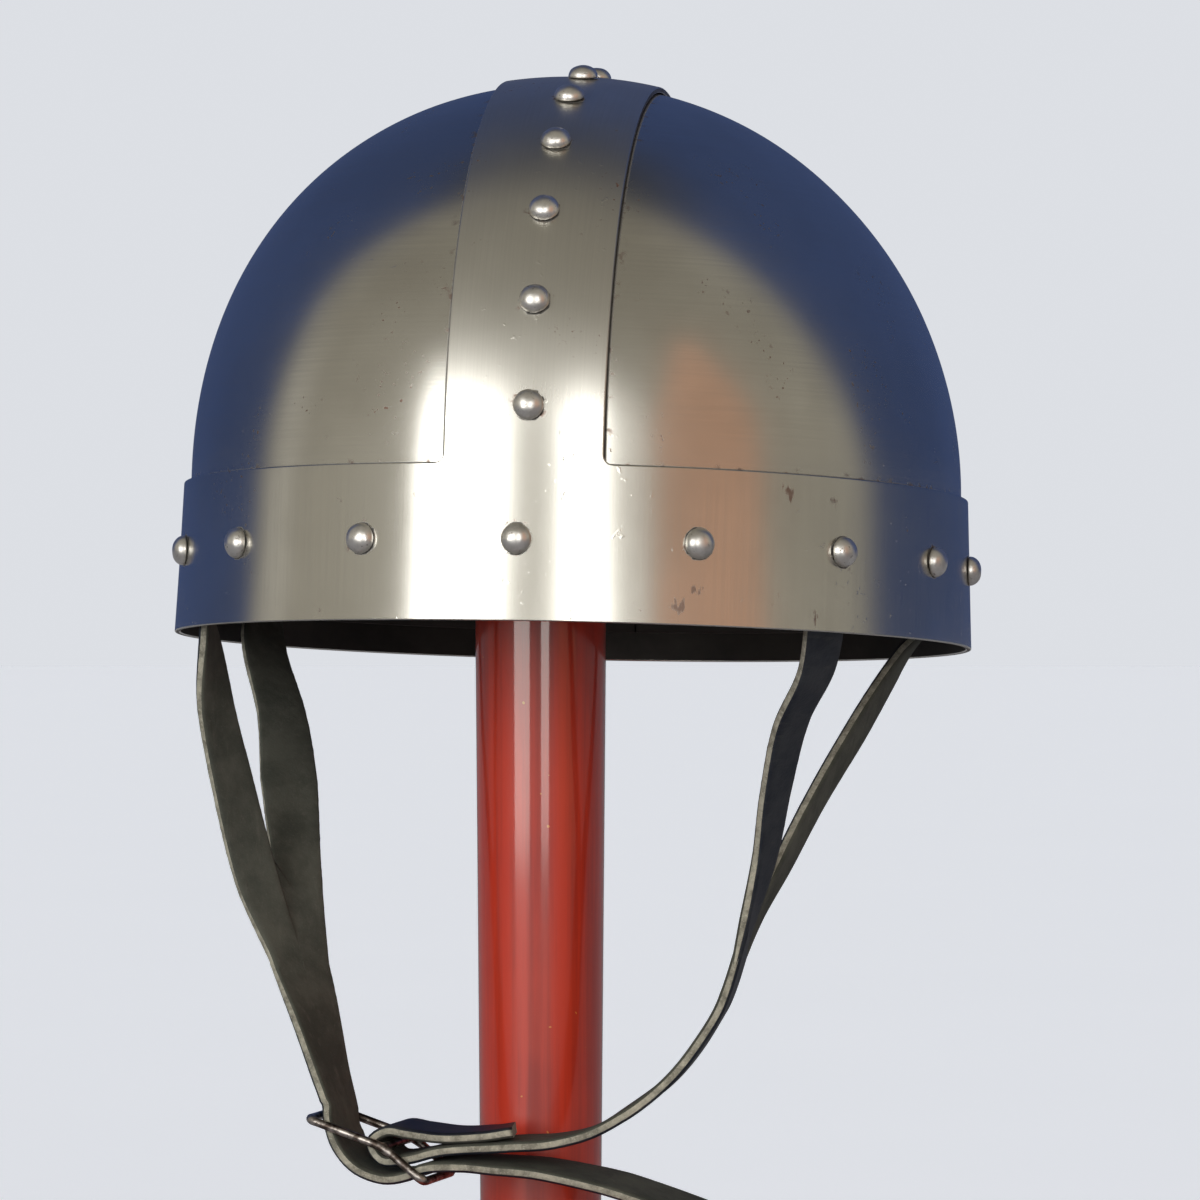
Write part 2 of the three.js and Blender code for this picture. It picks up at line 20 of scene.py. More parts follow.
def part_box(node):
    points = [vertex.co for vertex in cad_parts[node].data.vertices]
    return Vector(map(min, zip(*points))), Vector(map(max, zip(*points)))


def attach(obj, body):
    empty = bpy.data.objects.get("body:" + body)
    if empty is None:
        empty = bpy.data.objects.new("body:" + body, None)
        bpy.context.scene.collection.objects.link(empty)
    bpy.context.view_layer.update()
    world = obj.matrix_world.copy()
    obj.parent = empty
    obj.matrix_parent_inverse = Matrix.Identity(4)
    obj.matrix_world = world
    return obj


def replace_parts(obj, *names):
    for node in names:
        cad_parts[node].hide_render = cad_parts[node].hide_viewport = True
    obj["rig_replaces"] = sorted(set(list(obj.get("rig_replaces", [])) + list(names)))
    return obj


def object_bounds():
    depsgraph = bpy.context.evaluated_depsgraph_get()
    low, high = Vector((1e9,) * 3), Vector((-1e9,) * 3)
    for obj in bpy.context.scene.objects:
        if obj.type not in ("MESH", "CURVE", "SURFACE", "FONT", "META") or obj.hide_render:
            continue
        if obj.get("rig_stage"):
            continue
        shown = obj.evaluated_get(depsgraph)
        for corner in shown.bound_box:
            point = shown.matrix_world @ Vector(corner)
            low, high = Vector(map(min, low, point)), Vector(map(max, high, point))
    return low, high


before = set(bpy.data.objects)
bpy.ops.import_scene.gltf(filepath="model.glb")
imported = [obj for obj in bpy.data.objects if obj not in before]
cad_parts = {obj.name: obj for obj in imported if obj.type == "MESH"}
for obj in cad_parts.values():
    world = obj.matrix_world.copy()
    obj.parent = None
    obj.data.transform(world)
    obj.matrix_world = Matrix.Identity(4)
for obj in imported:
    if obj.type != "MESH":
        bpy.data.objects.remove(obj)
cad_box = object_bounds()
print("measured parts:", len(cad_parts))

# %% [markdown]
# ## Units and the two tilted groups
#
# A smith thinks in millimetres and Blender in metres, so one constant turns the first into the
# second. The helmet leans a little on its post, and the strap hangs plumb below it but turned a
# few degrees. Keeping each group in its own upright frame makes its formulas plain, and one
# matrix then puts the finished mesh in place.

# %% Helmet and strap frames
MM = 0.001
RIM_CENTRE = Vector((6.9, 15, 250))
HELMET_PITCH = math.radians(-2.86)
HELMET_ROLL = math.radians(0.85)
STRAP_TURN = math.radians(7.2)

lean = Matrix.Rotation(HELMET_PITCH, 4, "X") @ Matrix.Rotation(HELMET_ROLL, 4, "Y")
helmet_mm = Matrix.Translation(RIM_CENTRE) @ lean
strap_mm = Matrix.Translation(RIM_CENTRE) @ Matrix.Rotation(STRAP_TURN, 4, "Z")
helmet_to_strap = strap_mm.inverted() @ helmet_mm


def in_metres(matrix):
    """The same placing for a mesh whose points are already in metres."""
    placed = matrix.copy()
    placed.translation = matrix.translation * MM
    return placed


HELMET_PLACE = in_metres(helmet_mm)
STRAP_PLACE = in_metres(strap_mm)
print("rim centre", tuple(round(v, 4) for v in HELMET_PLACE.translation))

# %% [markdown]
# ## A small workshop for meshes
#
# Most pieces here are grids: rows of points that follow a formula, joined by quads. A helper
# takes points in millimetres and faces, makes the mesh object, stands it in place and says which
# measured part it stands for. Smooth shading is on, because sheet and leather are curved, and
# sharp corners get real bevels instead of hard shading.
#
# Smooth shading averages the directions of the faces round a point. A large face has most of
# the say here, so that a thin bevel beside it can't bend the reflection in it.


# %% Mesh helpers
MERGE_NEARER_THAN = 0.002 * MM
SHARP_CORNER = math.radians(50)
BEVEL_STEPS = 2


def make_piece(name, points, faces, marks=None):
    """A mesh object from points in millimetres, with a finish number for each face."""
    mesh = bpy.data.meshes.new(name)
    mesh.from_pydata([tuple(Vector(p) * MM) for p in points], [], faces)
    if marks:
        for _ in range(max(marks) + 1):
            mesh.materials.append(None)
        mesh.polygons.foreach_set("material_index", marks)
    piece = bpy.data.objects.new(name, mesh)
    bpy.context.scene.collection.objects.link(piece)
    work = bmesh.new()
    work.from_mesh(piece.data)
    bmesh.ops.remove_doubles(work, verts=work.verts, dist=MERGE_NEARER_THAN)
    bmesh.ops.recalc_face_normals(work, faces=work.faces)
    for face in work.faces:
        face.smooth = True
    work.to_mesh(piece.data)
    work.free()
    return piece


def ring_quads(start, rings, count, joined=False):
    """Quads between neighbouring rings of points. Joined rings meet again, as in a link."""
    quads = []
    for row in range(rings if joined else rings - 1):
        low, high = start + row * count, start + (row + 1) % rings * count
        for i in range(count):
            j = (i + 1) % count
            quads.append((low + i, low + j, high + j, high + i))
    return quads


def weigh_normals(piece):
    """Large faces decide how a shared point is shaded, so a narrow bevel can't tilt them."""
    normals = [Vector() for _ in piece.data.vertices]
    for face in piece.data.polygons:
        for point in face.vertices:
            normals[point] += face.normal * face.area**2
    piece.data.normals_split_custom_set_from_vertices([n.normalized() for n in normals])


def settle(piece, place, node):
    """Stands a finished mesh in place, and remembers each point's place in its own group."""
    own = piece.data.attributes.new("own_place", "FLOAT_VECTOR", "POINT")
    own.data.foreach_set("vector", [v for vertex in piece.data.vertices for v in vertex.co])
    piece.data.transform(place)
    weigh_normals(piece)
    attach(piece, "root")
    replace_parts(piece, node)
    triangles = sum(len(p.vertices) - 2 for p in piece.data.polygons)
    if not piece.name.startswith("rivet"):
        print(piece.name, triangles, "triangles")
    return piece


def soften_corners(piece, width):
    """Bevels every edge at which the surface turns sharply."""
    work = bmesh.new()
    work.from_mesh(piece.data)
    corners = [e for e in work.edges if e.is_manifold and e.calc_face_angle() > SHARP_CORNER]
    bmesh.ops.bevel(
        work, geom=corners, offset=width * MM, segments=BEVEL_STEPS, profile=0.5,
        affect="EDGES", clamp_overlap=True,
    )
    for face in work.faces:
        face.smooth = True
    work.to_mesh(piece.data)
    work.free()


# %% [markdown]
# ## The helmet's surface
#
# The plan of the helmet is an ellipse and its profile a slightly squared one, a superellipse.
# Two formulas give any point: one on the upright band, and one on the dome above it. A third
# gives the crown strip, whose two edges run straight back at a fixed distance from the middle,
# so its points are found by how far across they are and not by a compass direction.
#
# Layers are distances outside the half domes' outer face. One slow noise field, the smith's
# unevenness, moves all the layers alike, so the reflections waver but no gap closes.

# %% Sheet and dome sizes
PLATE_OUTER = 0
PLATE_INNER = -1.4
FRAME_INNER = 0.35
FRAME_OUTER = 1.85
HALF_WIDTH = 101.7
HALF_LENGTH = 118.8
RISE = 108.4
FULLNESS = 2.07
FULLNESS_LEAN = 0.085
BAND_HEIGHT = 39.3
BAND_FLARE = 1.6
PLATE_TUCK = 8
RIDGE_HALF = 20
RIDGE_OFFSET = 1.8
RIDGE_CORNER = 2.5
SEAM_GAP = 0.35
UNEVEN = 0.16
UNEVEN_SCALE = 0.028
REACH = (0.3, 1.3)
HALVINGS = 36


def fullness(turn):
    return FULLNESS - FULLNESS_LEAN * math.sin(turn)


def pushed(point):
    """A point moved by the hand-worked rise and fall of the sheet, away from its inside."""
    away = Vector((point.x, point.y, max(0, point.z - BAND_HEIGHT))).normalized()
    return point + away * UNEVEN * noise.noise(point * UNEVEN_SCALE)


def band_point(turn, height, layer):
    grow = layer + BAND_FLARE * (1 - height / BAND_HEIGHT)
    return Vector((
        (HALF_WIDTH + grow) * math.sin(turn),
        -(HALF_LENGTH + grow) * math.cos(turn),
        height,
    ))


def dome_point(turn, lift, layer):
    power = 2 / fullness(turn)
    inward = math.cos(lift) ** power
    return Vector((
        (HALF_WIDTH + layer) * inward * math.sin(turn),
        -(HALF_LENGTH + layer) * inward * math.cos(turn),
        BAND_HEIGHT + (RISE + layer) * math.sin(lift) ** power,
    ))


def ridge_point(across, angle, layer):
    """A point of the dome at an angle from front to back, its reach found by halving."""
    side = across / (HALF_WIDTH + layer)
    near, far = REACH
    for _ in range(HALVINGS):
        reach = (near + far) / 2
        ahead = reach * math.cos(angle)
        full = fullness(math.atan2(side, ahead))
        outside = math.hypot(side, ahead) ** full + (reach * math.sin(angle)) ** full > 1
        near, far = (near, reach) if outside else (reach, far)
    return Vector((
        across,
        -(HALF_LENGTH + layer) * reach * math.cos(angle),
        BAND_HEIGHT + (RISE + layer) * reach * math.sin(angle),
    ))


print("crown height above the rim", round(dome_point(0, math.pi / 2, FRAME_OUTER).z, 1), "mm")

# %% [markdown]
# ## Rivet places
#
# Sixteen rivets go round the brow, set out by eye, and twelve follow the crown strip at one
# step of a pair of dividers. The places are worked out before the sheet, because dirt, a painted
# contact shadow and a little rust gather round each head, and the sheet's material wants to know
# where.

# %% Rivet places
BROW_HEIGHT = 20.4
BROW_DEGREES = [
    0.5, 25.6, 48.6, 70.4, 90, 111.5, 134.5, 157.5, 181, 204, 226, 247, 263, 292, 313.5, 337.8,
]
CROWN_RIVETS = 12
CROWN_FIRST = 33.4
CROWN_STEP = 27.8
CROWN_ACROSS = 3
LINE_STEPS = 720


def brow_place(degrees):
    turn = math.radians(degrees)
    out = Vector((math.sin(turn) / HALF_WIDTH, -math.cos(turn) / HALF_LENGTH, 0)).normalized()
    return band_point(turn, BROW_HEIGHT, FRAME_OUTER), out


def crown_line():
    """Points over the crown from front to back, close enough together to measure along."""
    points = [band_point(0, BROW_HEIGHT, FRAME_OUTER)]
    for i in range(LINE_STEPS + 1):
        angle = math.pi * i / LINE_STEPS
        turn = math.pi if angle > math.pi / 2 else 0
        points.append(dome_point(turn, min(angle, math.pi - angle), FRAME_OUTER))
    points.append(band_point(math.pi, BROW_HEIGHT, FRAME_OUTER))
    return [Vector((CROWN_ACROSS, p.y, p.z)) for p in points]


def crown_places():
    line = crown_line()
    wanted = [CROWN_FIRST + i * CROWN_STEP for i in range(CROWN_RIVETS)]
    places, walked = [], 0
    for a, b in zip(line, line[1:]):
        step = (b - a).length
        while len(places) < CROWN_RIVETS and wanted[len(places)] <= walked + step:
            along = (b - a).normalized()
            at = a + along * (wanted[len(places)] - walked)
            places.append((at, Vector((0, -along.z, along.y))))
        walked += step
    return places


brow_rivets = [brow_place(degrees) for degrees in BROW_DEGREES]
crown_rivets = crown_places()
rivet_spots = [at for at, _ in brow_rivets + crown_rivets]
print(len(brow_rivets), "brow rivets,", len(crown_rivets), "crown rivets")

# %% [markdown]
# ## The frame: band and crown strip in one piece
#
# On the real helmet the two are welded and the weld is ground flush, so there is no seam. The
# mesh is therefore one grid. The strip's columns run down into the band's own columns at the
# front and the back, and its lowest rows spread a little into the rounded inner corners that a
# file leaves. The outer skin is made first, then a copy one sheet thickness inside, and every
# open edge of the outer skin is walled down to the copy. The outside, the inside and the walls
# get a finish number each, as polished iron, oiled iron darkened with painted shade, and
# sheared iron look different. Last, all cut edges get a small bevel. A boolean cut would be
# quicker to write, but it leaves slivers that spoil polished reflections.

# %% Build the frame
STRIP_COLUMNS = 26
SIDE_COLUMNS = 176
BAND_ROWS = 26
CORNER_ROWS = [0, 0.25, 0.6, 1.0, 1.5, 2.0, 2.5]
ARCH_ROWS = 200
EDGE_SOFTNESS = 0.32


def corner_spread(height):
    """How much wider the strip is near the band, in its rounded inner corners."""
    if height >= RIDGE_CORNER:
        return 0
    return RIDGE_CORNER - math.sqrt(RIDGE_CORNER**2 - (RIDGE_CORNER - height) ** 2)


def strip_columns(half):
    return [RIDGE_OFFSET + half * (2 * i / STRIP_COLUMNS - 1) for i in range(STRIP_COLUMNS + 1)]


def arch_angles():
    """Angles of the strip's rows from front to back, closer together at its two feet."""
    foot = [math.atan2(height / RISE, 1) for height in CORNER_ROWS]
    first = foot[-1]
    middle = [first + (math.pi - 2 * first) * i / ARCH_ROWS for i in range(1, ARCH_ROWS)]
    return foot + middle + [math.pi - angle for angle in reversed(foot)]


def band_turns():
    """Compass directions of the band's columns, and which of them lie under the strip."""
    reach = HALF_WIDTH + FRAME_OUTER
    front = [math.asin(x / reach) for x in strip_columns(RIDGE_HALF + corner_spread(0))]
    back = [math.pi - turn for turn in reversed(front)]
    gap = (back[0] - front[-1]) / SIDE_COLUMNS
    left = [front[-1] + gap * i for i in range(1, SIDE_COLUMNS)]
    rest = (2 * math.pi + front[0] - back[-1]) / SIDE_COLUMNS
    right = [back[-1] + rest * i for i in range(1, SIDE_COLUMNS)]
    return front + left + back + right


def frame_skin(layer):
    turns = band_turns()
    points = []
    for row in range(BAND_ROWS + 1):
        height = BAND_HEIGHT * row / BAND_ROWS
        points += [pushed(band_point(turn, height, layer)) for turn in turns]
    for angle in arch_angles()[1:-1]:
        rise = RISE * math.tan(min(angle, math.pi - angle))
        columns = strip_columns(RIDGE_HALF + corner_spread(rise))
        points += [pushed(ridge_point(across, angle, layer)) for across in columns]
    return points


def frame_quads():
    count = len(band_turns())
    quads = ring_quads(0, BAND_ROWS + 1, count)
    top = BAND_ROWS * count
    wide = STRIP_COLUMNS + 1
    first_back = wide + SIDE_COLUMNS - 1
    rows = [[top + i for i in range(wide)]]
    start = (BAND_ROWS + 1) * count
    for row in range(len(arch_angles()) - 2):
        rows.append([start + row * wide + i for i in range(wide)])
    rows.append([top + first_back + wide - 1 - i for i in range(wide)])
    for low, high in zip(rows, rows[1:]):
        for i in range(wide - 1):
            quads.append((low[i], low[i + 1], high[i + 1], high[i]))
    return quads


def open_edges(faces):
    """Directed edges that only one face uses."""
    directed = {(f[i], f[(i + 1) % len(f)]) for f in faces for i in range(len(f))}
    return [(a, b) for a, b in directed if (b, a) not in directed]


def sheet_from_skins(outer, inner, faces):
    """A closed sheet: outer skin (finish 0), inner skin (1) and walls at open edges (2)."""
    shift = len(outer)
    turned = [tuple(shift + v for v in reversed(face)) for face in faces]
    walls = [(b, a, shift + a, shift + b) for a, b in sorted(open_edges(faces))]
    marks = [0] * len(faces) + [1] * len(faces) + [2] * len(walls)
    return outer + inner, faces + turned + walls, marks


skins = sheet_from_skins(frame_skin(FRAME_OUTER), frame_skin(FRAME_INNER), frame_quads())
helmet_frame = make_piece("brow_band_and_crown_strip", *skins)
soften_corners(helmet_frame, EDGE_SOFTNESS)
settle(helmet_frame, HELMET_PLACE, "helmet_frame")

# %% [markdown]
# ## The half domes
#
# Each half is pressed from one sheet. It tucks down inside the band and meets the other half
# edge to edge under the middle of the strip. The grid here is by compass direction and lift,
# like the lines on a globe, and the pole falls under the strip where nobody sees it. The globe
# is made whole, then cut on the middle plane and walled up along the cut.

# %% Build the half domes
DOME_COLUMNS = 288
DOME_ROWS = 84
TUCK_ROWS = 14


def dome_skin(layer):
    turns = [2 * math.pi * i / DOME_COLUMNS for i in range(DOME_COLUMNS)]
    points = []
    for row in range(TUCK_ROWS):
        height = PLATE_TUCK + (BAND_HEIGHT - PLATE_TUCK) * row / TUCK_ROWS
        points += [pushed(band_point(turn, height, layer)) for turn in turns]
    for row in range(DOME_ROWS):
        lift = math.pi / 2 * row / DOME_ROWS
        points += [pushed(dome_point(turn, lift, layer)) for turn in turns]
    return points + [pushed(Vector((0, 0, BAND_HEIGHT + RISE + layer)))]


def dome_faces():
    rows = TUCK_ROWS + DOME_ROWS
    faces = ring_quads(0, rows, DOME_COLUMNS)
    last, crown = (rows - 1) * DOME_COLUMNS, rows * DOME_COLUMNS
    for i in range(DOME_COLUMNS):
        faces.append((last + i, last + (i + 1) % DOME_COLUMNS, crown))
    return faces


def cut_in_half(piece, side):
    """Keeps one side of the seam plane and closes the cut."""
    work = bmesh.new()
    work.from_mesh(piece.data)
    seam = Vector(((RIDGE_OFFSET + side * SEAM_GAP / 2) * MM, 0, 0))
    cut = bmesh.ops.bisect_plane(
        work, geom=work.verts[:] + work.edges[:] + work.faces[:], plane_co=seam,
        plane_no=Vector((-side, 0, 0)), clear_outer=True,
    )
    loop = [e for e in cut["geom_cut"] if isinstance(e, bmesh.types.BMEdge) and e.is_boundary]
    bmesh.ops.holes_fill(work, edges=loop, sides=0)
    bmesh.ops.triangulate(work, faces=[f for f in work.faces if len(f.verts) > 4])
    bmesh.ops.recalc_face_normals(work, faces=work.faces)
    work.to_mesh(piece.data)
    work.free()


dome = sheet_from_skins(dome_skin(PLATE_OUTER), dome_skin(PLATE_INNER), dome_faces())
half_domes = []
for name, side in (("left", 1), ("right", -1)):
    half = make_piece(f"half_dome_{name}", *dome)
    cut_in_half(half, side)
    half_domes.append(settle(half, HELMET_PLACE, f"plate_{name}"))

# %% [markdown]
# ## Rivets
#
# A rivet is a pin with a round head outside. It goes hot through both sheets, and its tail is
# hammered flat inside. Heads that are hammered by hand are never quite alike, so each one is
# turned from the same profile and then given its own shallow dents by a noise field that is
# read at a different place for each rivet. A shared mesh would be lighter and would look
# stamped.

# %% Build the rivets
HEAD_RADIUS = 4
HEAD_HEIGHT = 3.4
HEAD_GAP = 0.12
HEAD_LIP = 0.35
SHANK_RADIUS = 1.9
TAIL_RADIUS = 3.3
TAIL_HEIGHT = 1.3
TAIL_GAP = 1.1
RIVET_SIDES = 32
HEAD_RINGS = 9
HEAD_DENTS = 0.22
DENT_SCALE = 0.42
STRAP_THICK = 2.8
STRAP_WALL_GAP = 1.3
STRAP_DEGREES = (292, 247, 48.6, 111.5)
SHEET_GRIP = FRAME_OUTER - PLATE_INNER


def rivet_profile(grip):
    """Radius and height from the middle of the hammered tail, up the shank, to the head's top."""
    tail = -(grip + TAIL_GAP)
    profile = [(0, tail - TAIL_HEIGHT), (0.55 * TAIL_RADIUS, tail - TAIL_HEIGHT)]
    profile += [(0.85 * TAIL_RADIUS, tail - 0.9 * TAIL_HEIGHT), (TAIL_RADIUS, tail - 0.45)]
    profile += [(TAIL_RADIUS * 0.97, tail), (SHANK_RADIUS, tail), (SHANK_RADIUS, HEAD_GAP)]
    profile += [(HEAD_RADIUS * 0.93, HEAD_GAP)]
    for i in range(HEAD_RINGS + 1):
        angle = math.pi / 2 * i / HEAD_RINGS
        rise = HEAD_LIP + (HEAD_HEIGHT - HEAD_LIP) * math.sin(angle)
        profile.append((HEAD_RADIUS * math.cos(angle) ** 0.92, HEAD_GAP + rise))
    profile[-1] = (0, HEAD_GAP + HEAD_HEIGHT)
    return profile


def lathe(profile, sides):
    """Points and faces of a turned solid whose first and last profile points lie on the axis."""
    points = [Vector((0, 0, profile[0][1]))]
    for radius, height in profile[1:-1]:
        for i in range(sides):
            angle = 2 * math.pi * i / sides
            points.append(Vector((radius * math.cos(angle), radius * math.sin(angle), height)))
    top = len(points)
    points.append(Vector((0, 0, profile[-1][1])))
    faces = ring_quads(1, len(profile) - 2, sides)
    for i in range(sides):
        j = (i + 1) % sides
        faces += [(0, 1 + j, 1 + i), (top - sides + i, top - sides + j, top)]
    return points, faces


def dent(point, seed):
    """Moves a head's point inwards by its rivet's own share of the noise."""
    depth = 0.5 + 0.5 * noise.noise(point * DENT_SCALE + Vector((seed * 7.3, seed * 3.1, 0)))
    if point.z <= HEAD_GAP:
        return point
    return point * (1 - HEAD_DENTS * depth / HEAD_RADIUS)


def set_rivet(name, place, grip, seed):
    at, out = place
    points, faces = lathe(rivet_profile(grip), RIVET_SIDES)
    turn = out.to_track_quat("Z", "Y").to_matrix().to_4x4()
    spin = Matrix.Rotation(seed * 1.7, 4, "Z")
    stand = Matrix.Translation(at) @ turn @ spin
    points = [stand @ dent(point, seed) for point in points]
    return settle(make_piece(f"rivet_{name}", points, faces), HELMET_PLACE, name)


CROWN_SEED = 31
rivets = []
for i, place in enumerate(brow_rivets):
    extra = STRAP_WALL_GAP + STRAP_THICK if BROW_DEGREES[i] in STRAP_DEGREES else 0
    rivets.append(set_rivet(f"brow_rivet_{i + 1:02d}", place, SHEET_GRIP + extra, i + 1))
for i, place in enumerate(crown_rivets):
    rivets.append(set_rivet(f"ridge_rivet_{i + 1:02d}", place, SHEET_GRIP, i + CROWN_SEED))


def off_centre(rivet):
    """How far a rivet's middle is from the middle of the measured part it stands for."""
    low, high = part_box(rivet["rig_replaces"][0])
    mine = [rivet.matrix_world @ Vector(corner) for corner in rivet.bound_box]
    middle = sum(mine, Vector()) / len(mine)
    return (middle - (low + high) / 2).length / MM


print("farthest rivet from its measured place:", round(max(map(off_centre, rivets)), 2), "mm")

# %% [markdown]
# ## The chin strap
#
# Each half is cut from one hide in the shape of a fork. Its two legs are riveted inside the
# band, before and behind the ear, and join into one run. The wearer's right half goes through
# the wire buckle and ends in a free tail. The left half folds round the buckle's middle bar.
#
# A strap is a flat section carried along a curve. Its stations say where the middle is, which
# way the width lies and how wide it is there. Between stations a Catmull-Rom spline gives a
# smooth way, as a bent strap has. Cloth simulation would let it hang, but the lacing through
# the buckle must stay exactly as it is, so it is modelled directly.
#
# A run starts between its two legs, narrow and skived, which is a saddler's word for pared
# thin. So it fills the fork without a step, and the legs' outer edges flow into its own.

# %% Strap stations in millimetres from the rim's centre
LEG_WIDTH = 12.5
STRAP_WIDTH = 20
STRAP_TAB = 9
EDGE_PROBE = 0.01
ALONG_THE_BARS = (0.3, 0.95, 0.03)


def station(at, side, width=STRAP_WIDTH, skived=1):
    """Middle, width direction, width, and how much of the thickness is left."""
    return Vector(at), Vector(side).normalized(), width, skived


def tab_stations(degrees):
    """The stretch of a leg that lies against the half dome's inner face."""
    turn = math.radians(degrees)
    layer = PLATE_INNER - STRAP_WALL_GAP - STRAP_THICK / 2
    stations = []
    for rise in (STRAP_TAB, 0, -STRAP_TAB):
        at = band_point(turn, BROW_HEIGHT + rise, layer)
        side = band_point(turn + EDGE_PROBE, BROW_HEIGHT + rise, layer) - at
        side = helmet_to_strap.to_3x3() @ (-side if turn > math.pi else side)
        stations.append(station(helmet_to_strap @ at, side, LEG_WIDTH))
    return stations


RIGHT_FRONT_LEG = tab_stations(292) + [
    station((-95, -33, 3), (0.15, 0.98, 0), LEG_WIDTH),
    station((-93.5, -30, -15.6), (0.62, 0.78, 0), LEG_WIDTH),
    station((-89.5, -27, -35.3), (0.75, 0.65, 0), 12.8),
    station((-82.8, -25.8, -62), (0.85, 0.5, 0), 12.2),
    station((-76.1, -27.6, -80), (0.75, 0.66, 0), 10.5),
    station((-72.6, -31.9, -90), (0.62, 0.78, 0), 9.5, 0.6),
]
RIGHT_BACK_LEG = tab_stations(247) + [
    station((-84.4, 44, -1), (0.7, 0.7, 0), 13.5),
    station((-78.6, 24, -20), (0.9, 0.43, 0), 13.5),
    station((-75.8, 4, -37), (0.95, 0.3, 0), 15.2),
    station((-72.6, -14, -62), (0.88, 0.47, 0), 13.2),
    station((-69.1, -21.4, -80), (0.75, 0.66, 0), 10.5),
    station((-66.8, -24.5, -90), (0.62, 0.78, 0), 9.5, 0.6),
]
RIGHT_RUN = [
    station((-79.6, -18.2, -58), (0.88, 0.47, 0), 3, 0.6),
    station((-75.5, -21.3, -71), (0.82, 0.57, 0), 13, 0.7),
    station((-71.6, -25.5, -84), (0.7, 0.7, 0), 19.4, 0.9),
    station((-67.1, -32, -98.5), (0.5, 0.86, 0)),
    station((-63.8, -36, -110), (0.38, 0.92, 0)),
    station((-60.8, -38.5, -119.9), ALONG_THE_BARS),
    station((-59.7, -40.5, -125.2), ALONG_THE_BARS),
    station((-57.4, -42.8, -130.6), ALONG_THE_BARS),
    station((-53.1, -44.5, -135), ALONG_THE_BARS),
    station((-46, -45.6, -137.4), ALONG_THE_BARS),
    station((-40.3, -46.6, -136.7), ALONG_THE_BARS),
    station((-35.3, -48, -134.6), ALONG_THE_BARS),
    station((-27, -49.5, -134), (0.28, 0.96, 0.04)),
    station((-18.6, -50, -134.5), (0.26, 0.96, 0.06)),
    station((-8.3, -50, -135.4), (0.25, 0.96, 0.07)),
    station((5, -49.5, -138), (0.22, 0.97, 0.1)),
    station((12, -49, -139.8), (0.2, 0.97, 0.12)),
    station((23, -48, -143.4), (0.2, 0.97, 0.12)),
    station((38, -47, -149), (0.2, 0.97, 0.12)),
]
LEFT_FRONT_LEG = tab_stations(48.6) + [
    station((62.2, -72, -5.9), (0.7, 0.7, 0.1), LEG_WIDTH),
    station((55.9, -61, -20.3), (0.68, 0.7, 0.2), LEG_WIDTH),
    station((52.2, -50.5, -38), (0.6, 0.75, 0.25), 12),
    station((49.6, -42.5, -55), (0.48, 0.85, 0.15), 11),
    station((44.9, -44.8, -72), (0.2, 0.97, 0), 10.6),
    station((41.7, -47.6, -84), (0.1, 0.99, 0), 9.6, 0.7),
]
LEFT_BACK_LEG = tab_stations(111.5) + [
    station((86.5, 18, -5.9), (0, 0.9, -0.4), LEG_WIDTH),
    station((75.4, 0, -22.5), (0.05, 0.75, -0.65), LEG_WIDTH),
    station((64.2, -16.5, -40), (0.1, 0.8, -0.55), 11.5),
    station((55, -29, -56.5), (0.2, 0.9, -0.35), 11),
    station((46.9, -35.2, -72), (0.2, 0.97, 0), 10.6),
    station((42.7, -37.9, -84), (0.1, 0.99, 0), 9.6, 0.7),
]
LEFT_RUN = [
    station((49.4, -37.5, -60), (0.35, 0.93, 0), 3, 0.6),
    station((46.4, -39.7, -70), (0.22, 0.97, 0), 13, 0.75),
    station((44, -41.4, -78), (0.12, 0.99, 0), 18, 0.85),
    station((39, -44.5, -92.6), (0.1, 0.99, 0)),
    station((32.2, -46.5, -104), (0.1, 0.99, 0)),
    station((24.3, -48, -113.2), (0.1, 0.99, 0)),
    station((11.7, -49, -122.6), (0.1, 0.99, 0)),
    station((5.2, -49.4, -126), (0.16, 0.98, 0)),
    station((-4, -49.8, -128.2), (0.22, 0.97, 0.02)),
    station((-15.8, -50, -129), (0.28, 0.95, 0.03)),
    station((-31, -48.6, -130.1), ALONG_THE_BARS),
    station((-39.8, -46.2, -132.3), ALONG_THE_BARS),
    station((-46.6, -44.2, -132.7), ALONG_THE_BARS),
    station((-49.3, -43.3, -128.2), ALONG_THE_BARS),
    station((-45.4, -44.6, -125.2), ALONG_THE_BARS),
    station((-39.8, -46.2, -125.8), ALONG_THE_BARS),
    station((-31, -48.6, -126.7), ALONG_THE_BARS),
    station((-21, -49.8, -126.2), (0.29, 0.95, 0.03)),
    station((-15.2, -50, -125.4), (0.28, 0.95, 0.03)),
]
print(len(RIGHT_RUN) + len(LEFT_RUN), "stations along the two runs")

# %% [markdown]
# ## Sweeping the leather
#
# The spline is the centripetal kind, which never loops between close stations. The section is a
# flat bar with cut-off corners. Its points are listed round the section, so each strip of faces
# along the strap is grain side, flesh side or raw cut edge from the start, and the three
# finishes need no painting. The corners go with the side that they join, as dye runs over
# them, and only the middle of the edge stays raw. Raw edges are uneven, so their points wander
# a little, in a slow wave with a quicker one over it.

# %% Sweep and fuse the straps
STRAP_STEP = 1.3
CORNER = 0.65
FACE_POINTS = 8
EDGE_POINTS = 3
WANDER = 0.16
SLOW_WANDER = 0.5
QUICK_WANDER = 1.6
GRAIN, FLESH, CUT = 0, 1, 2


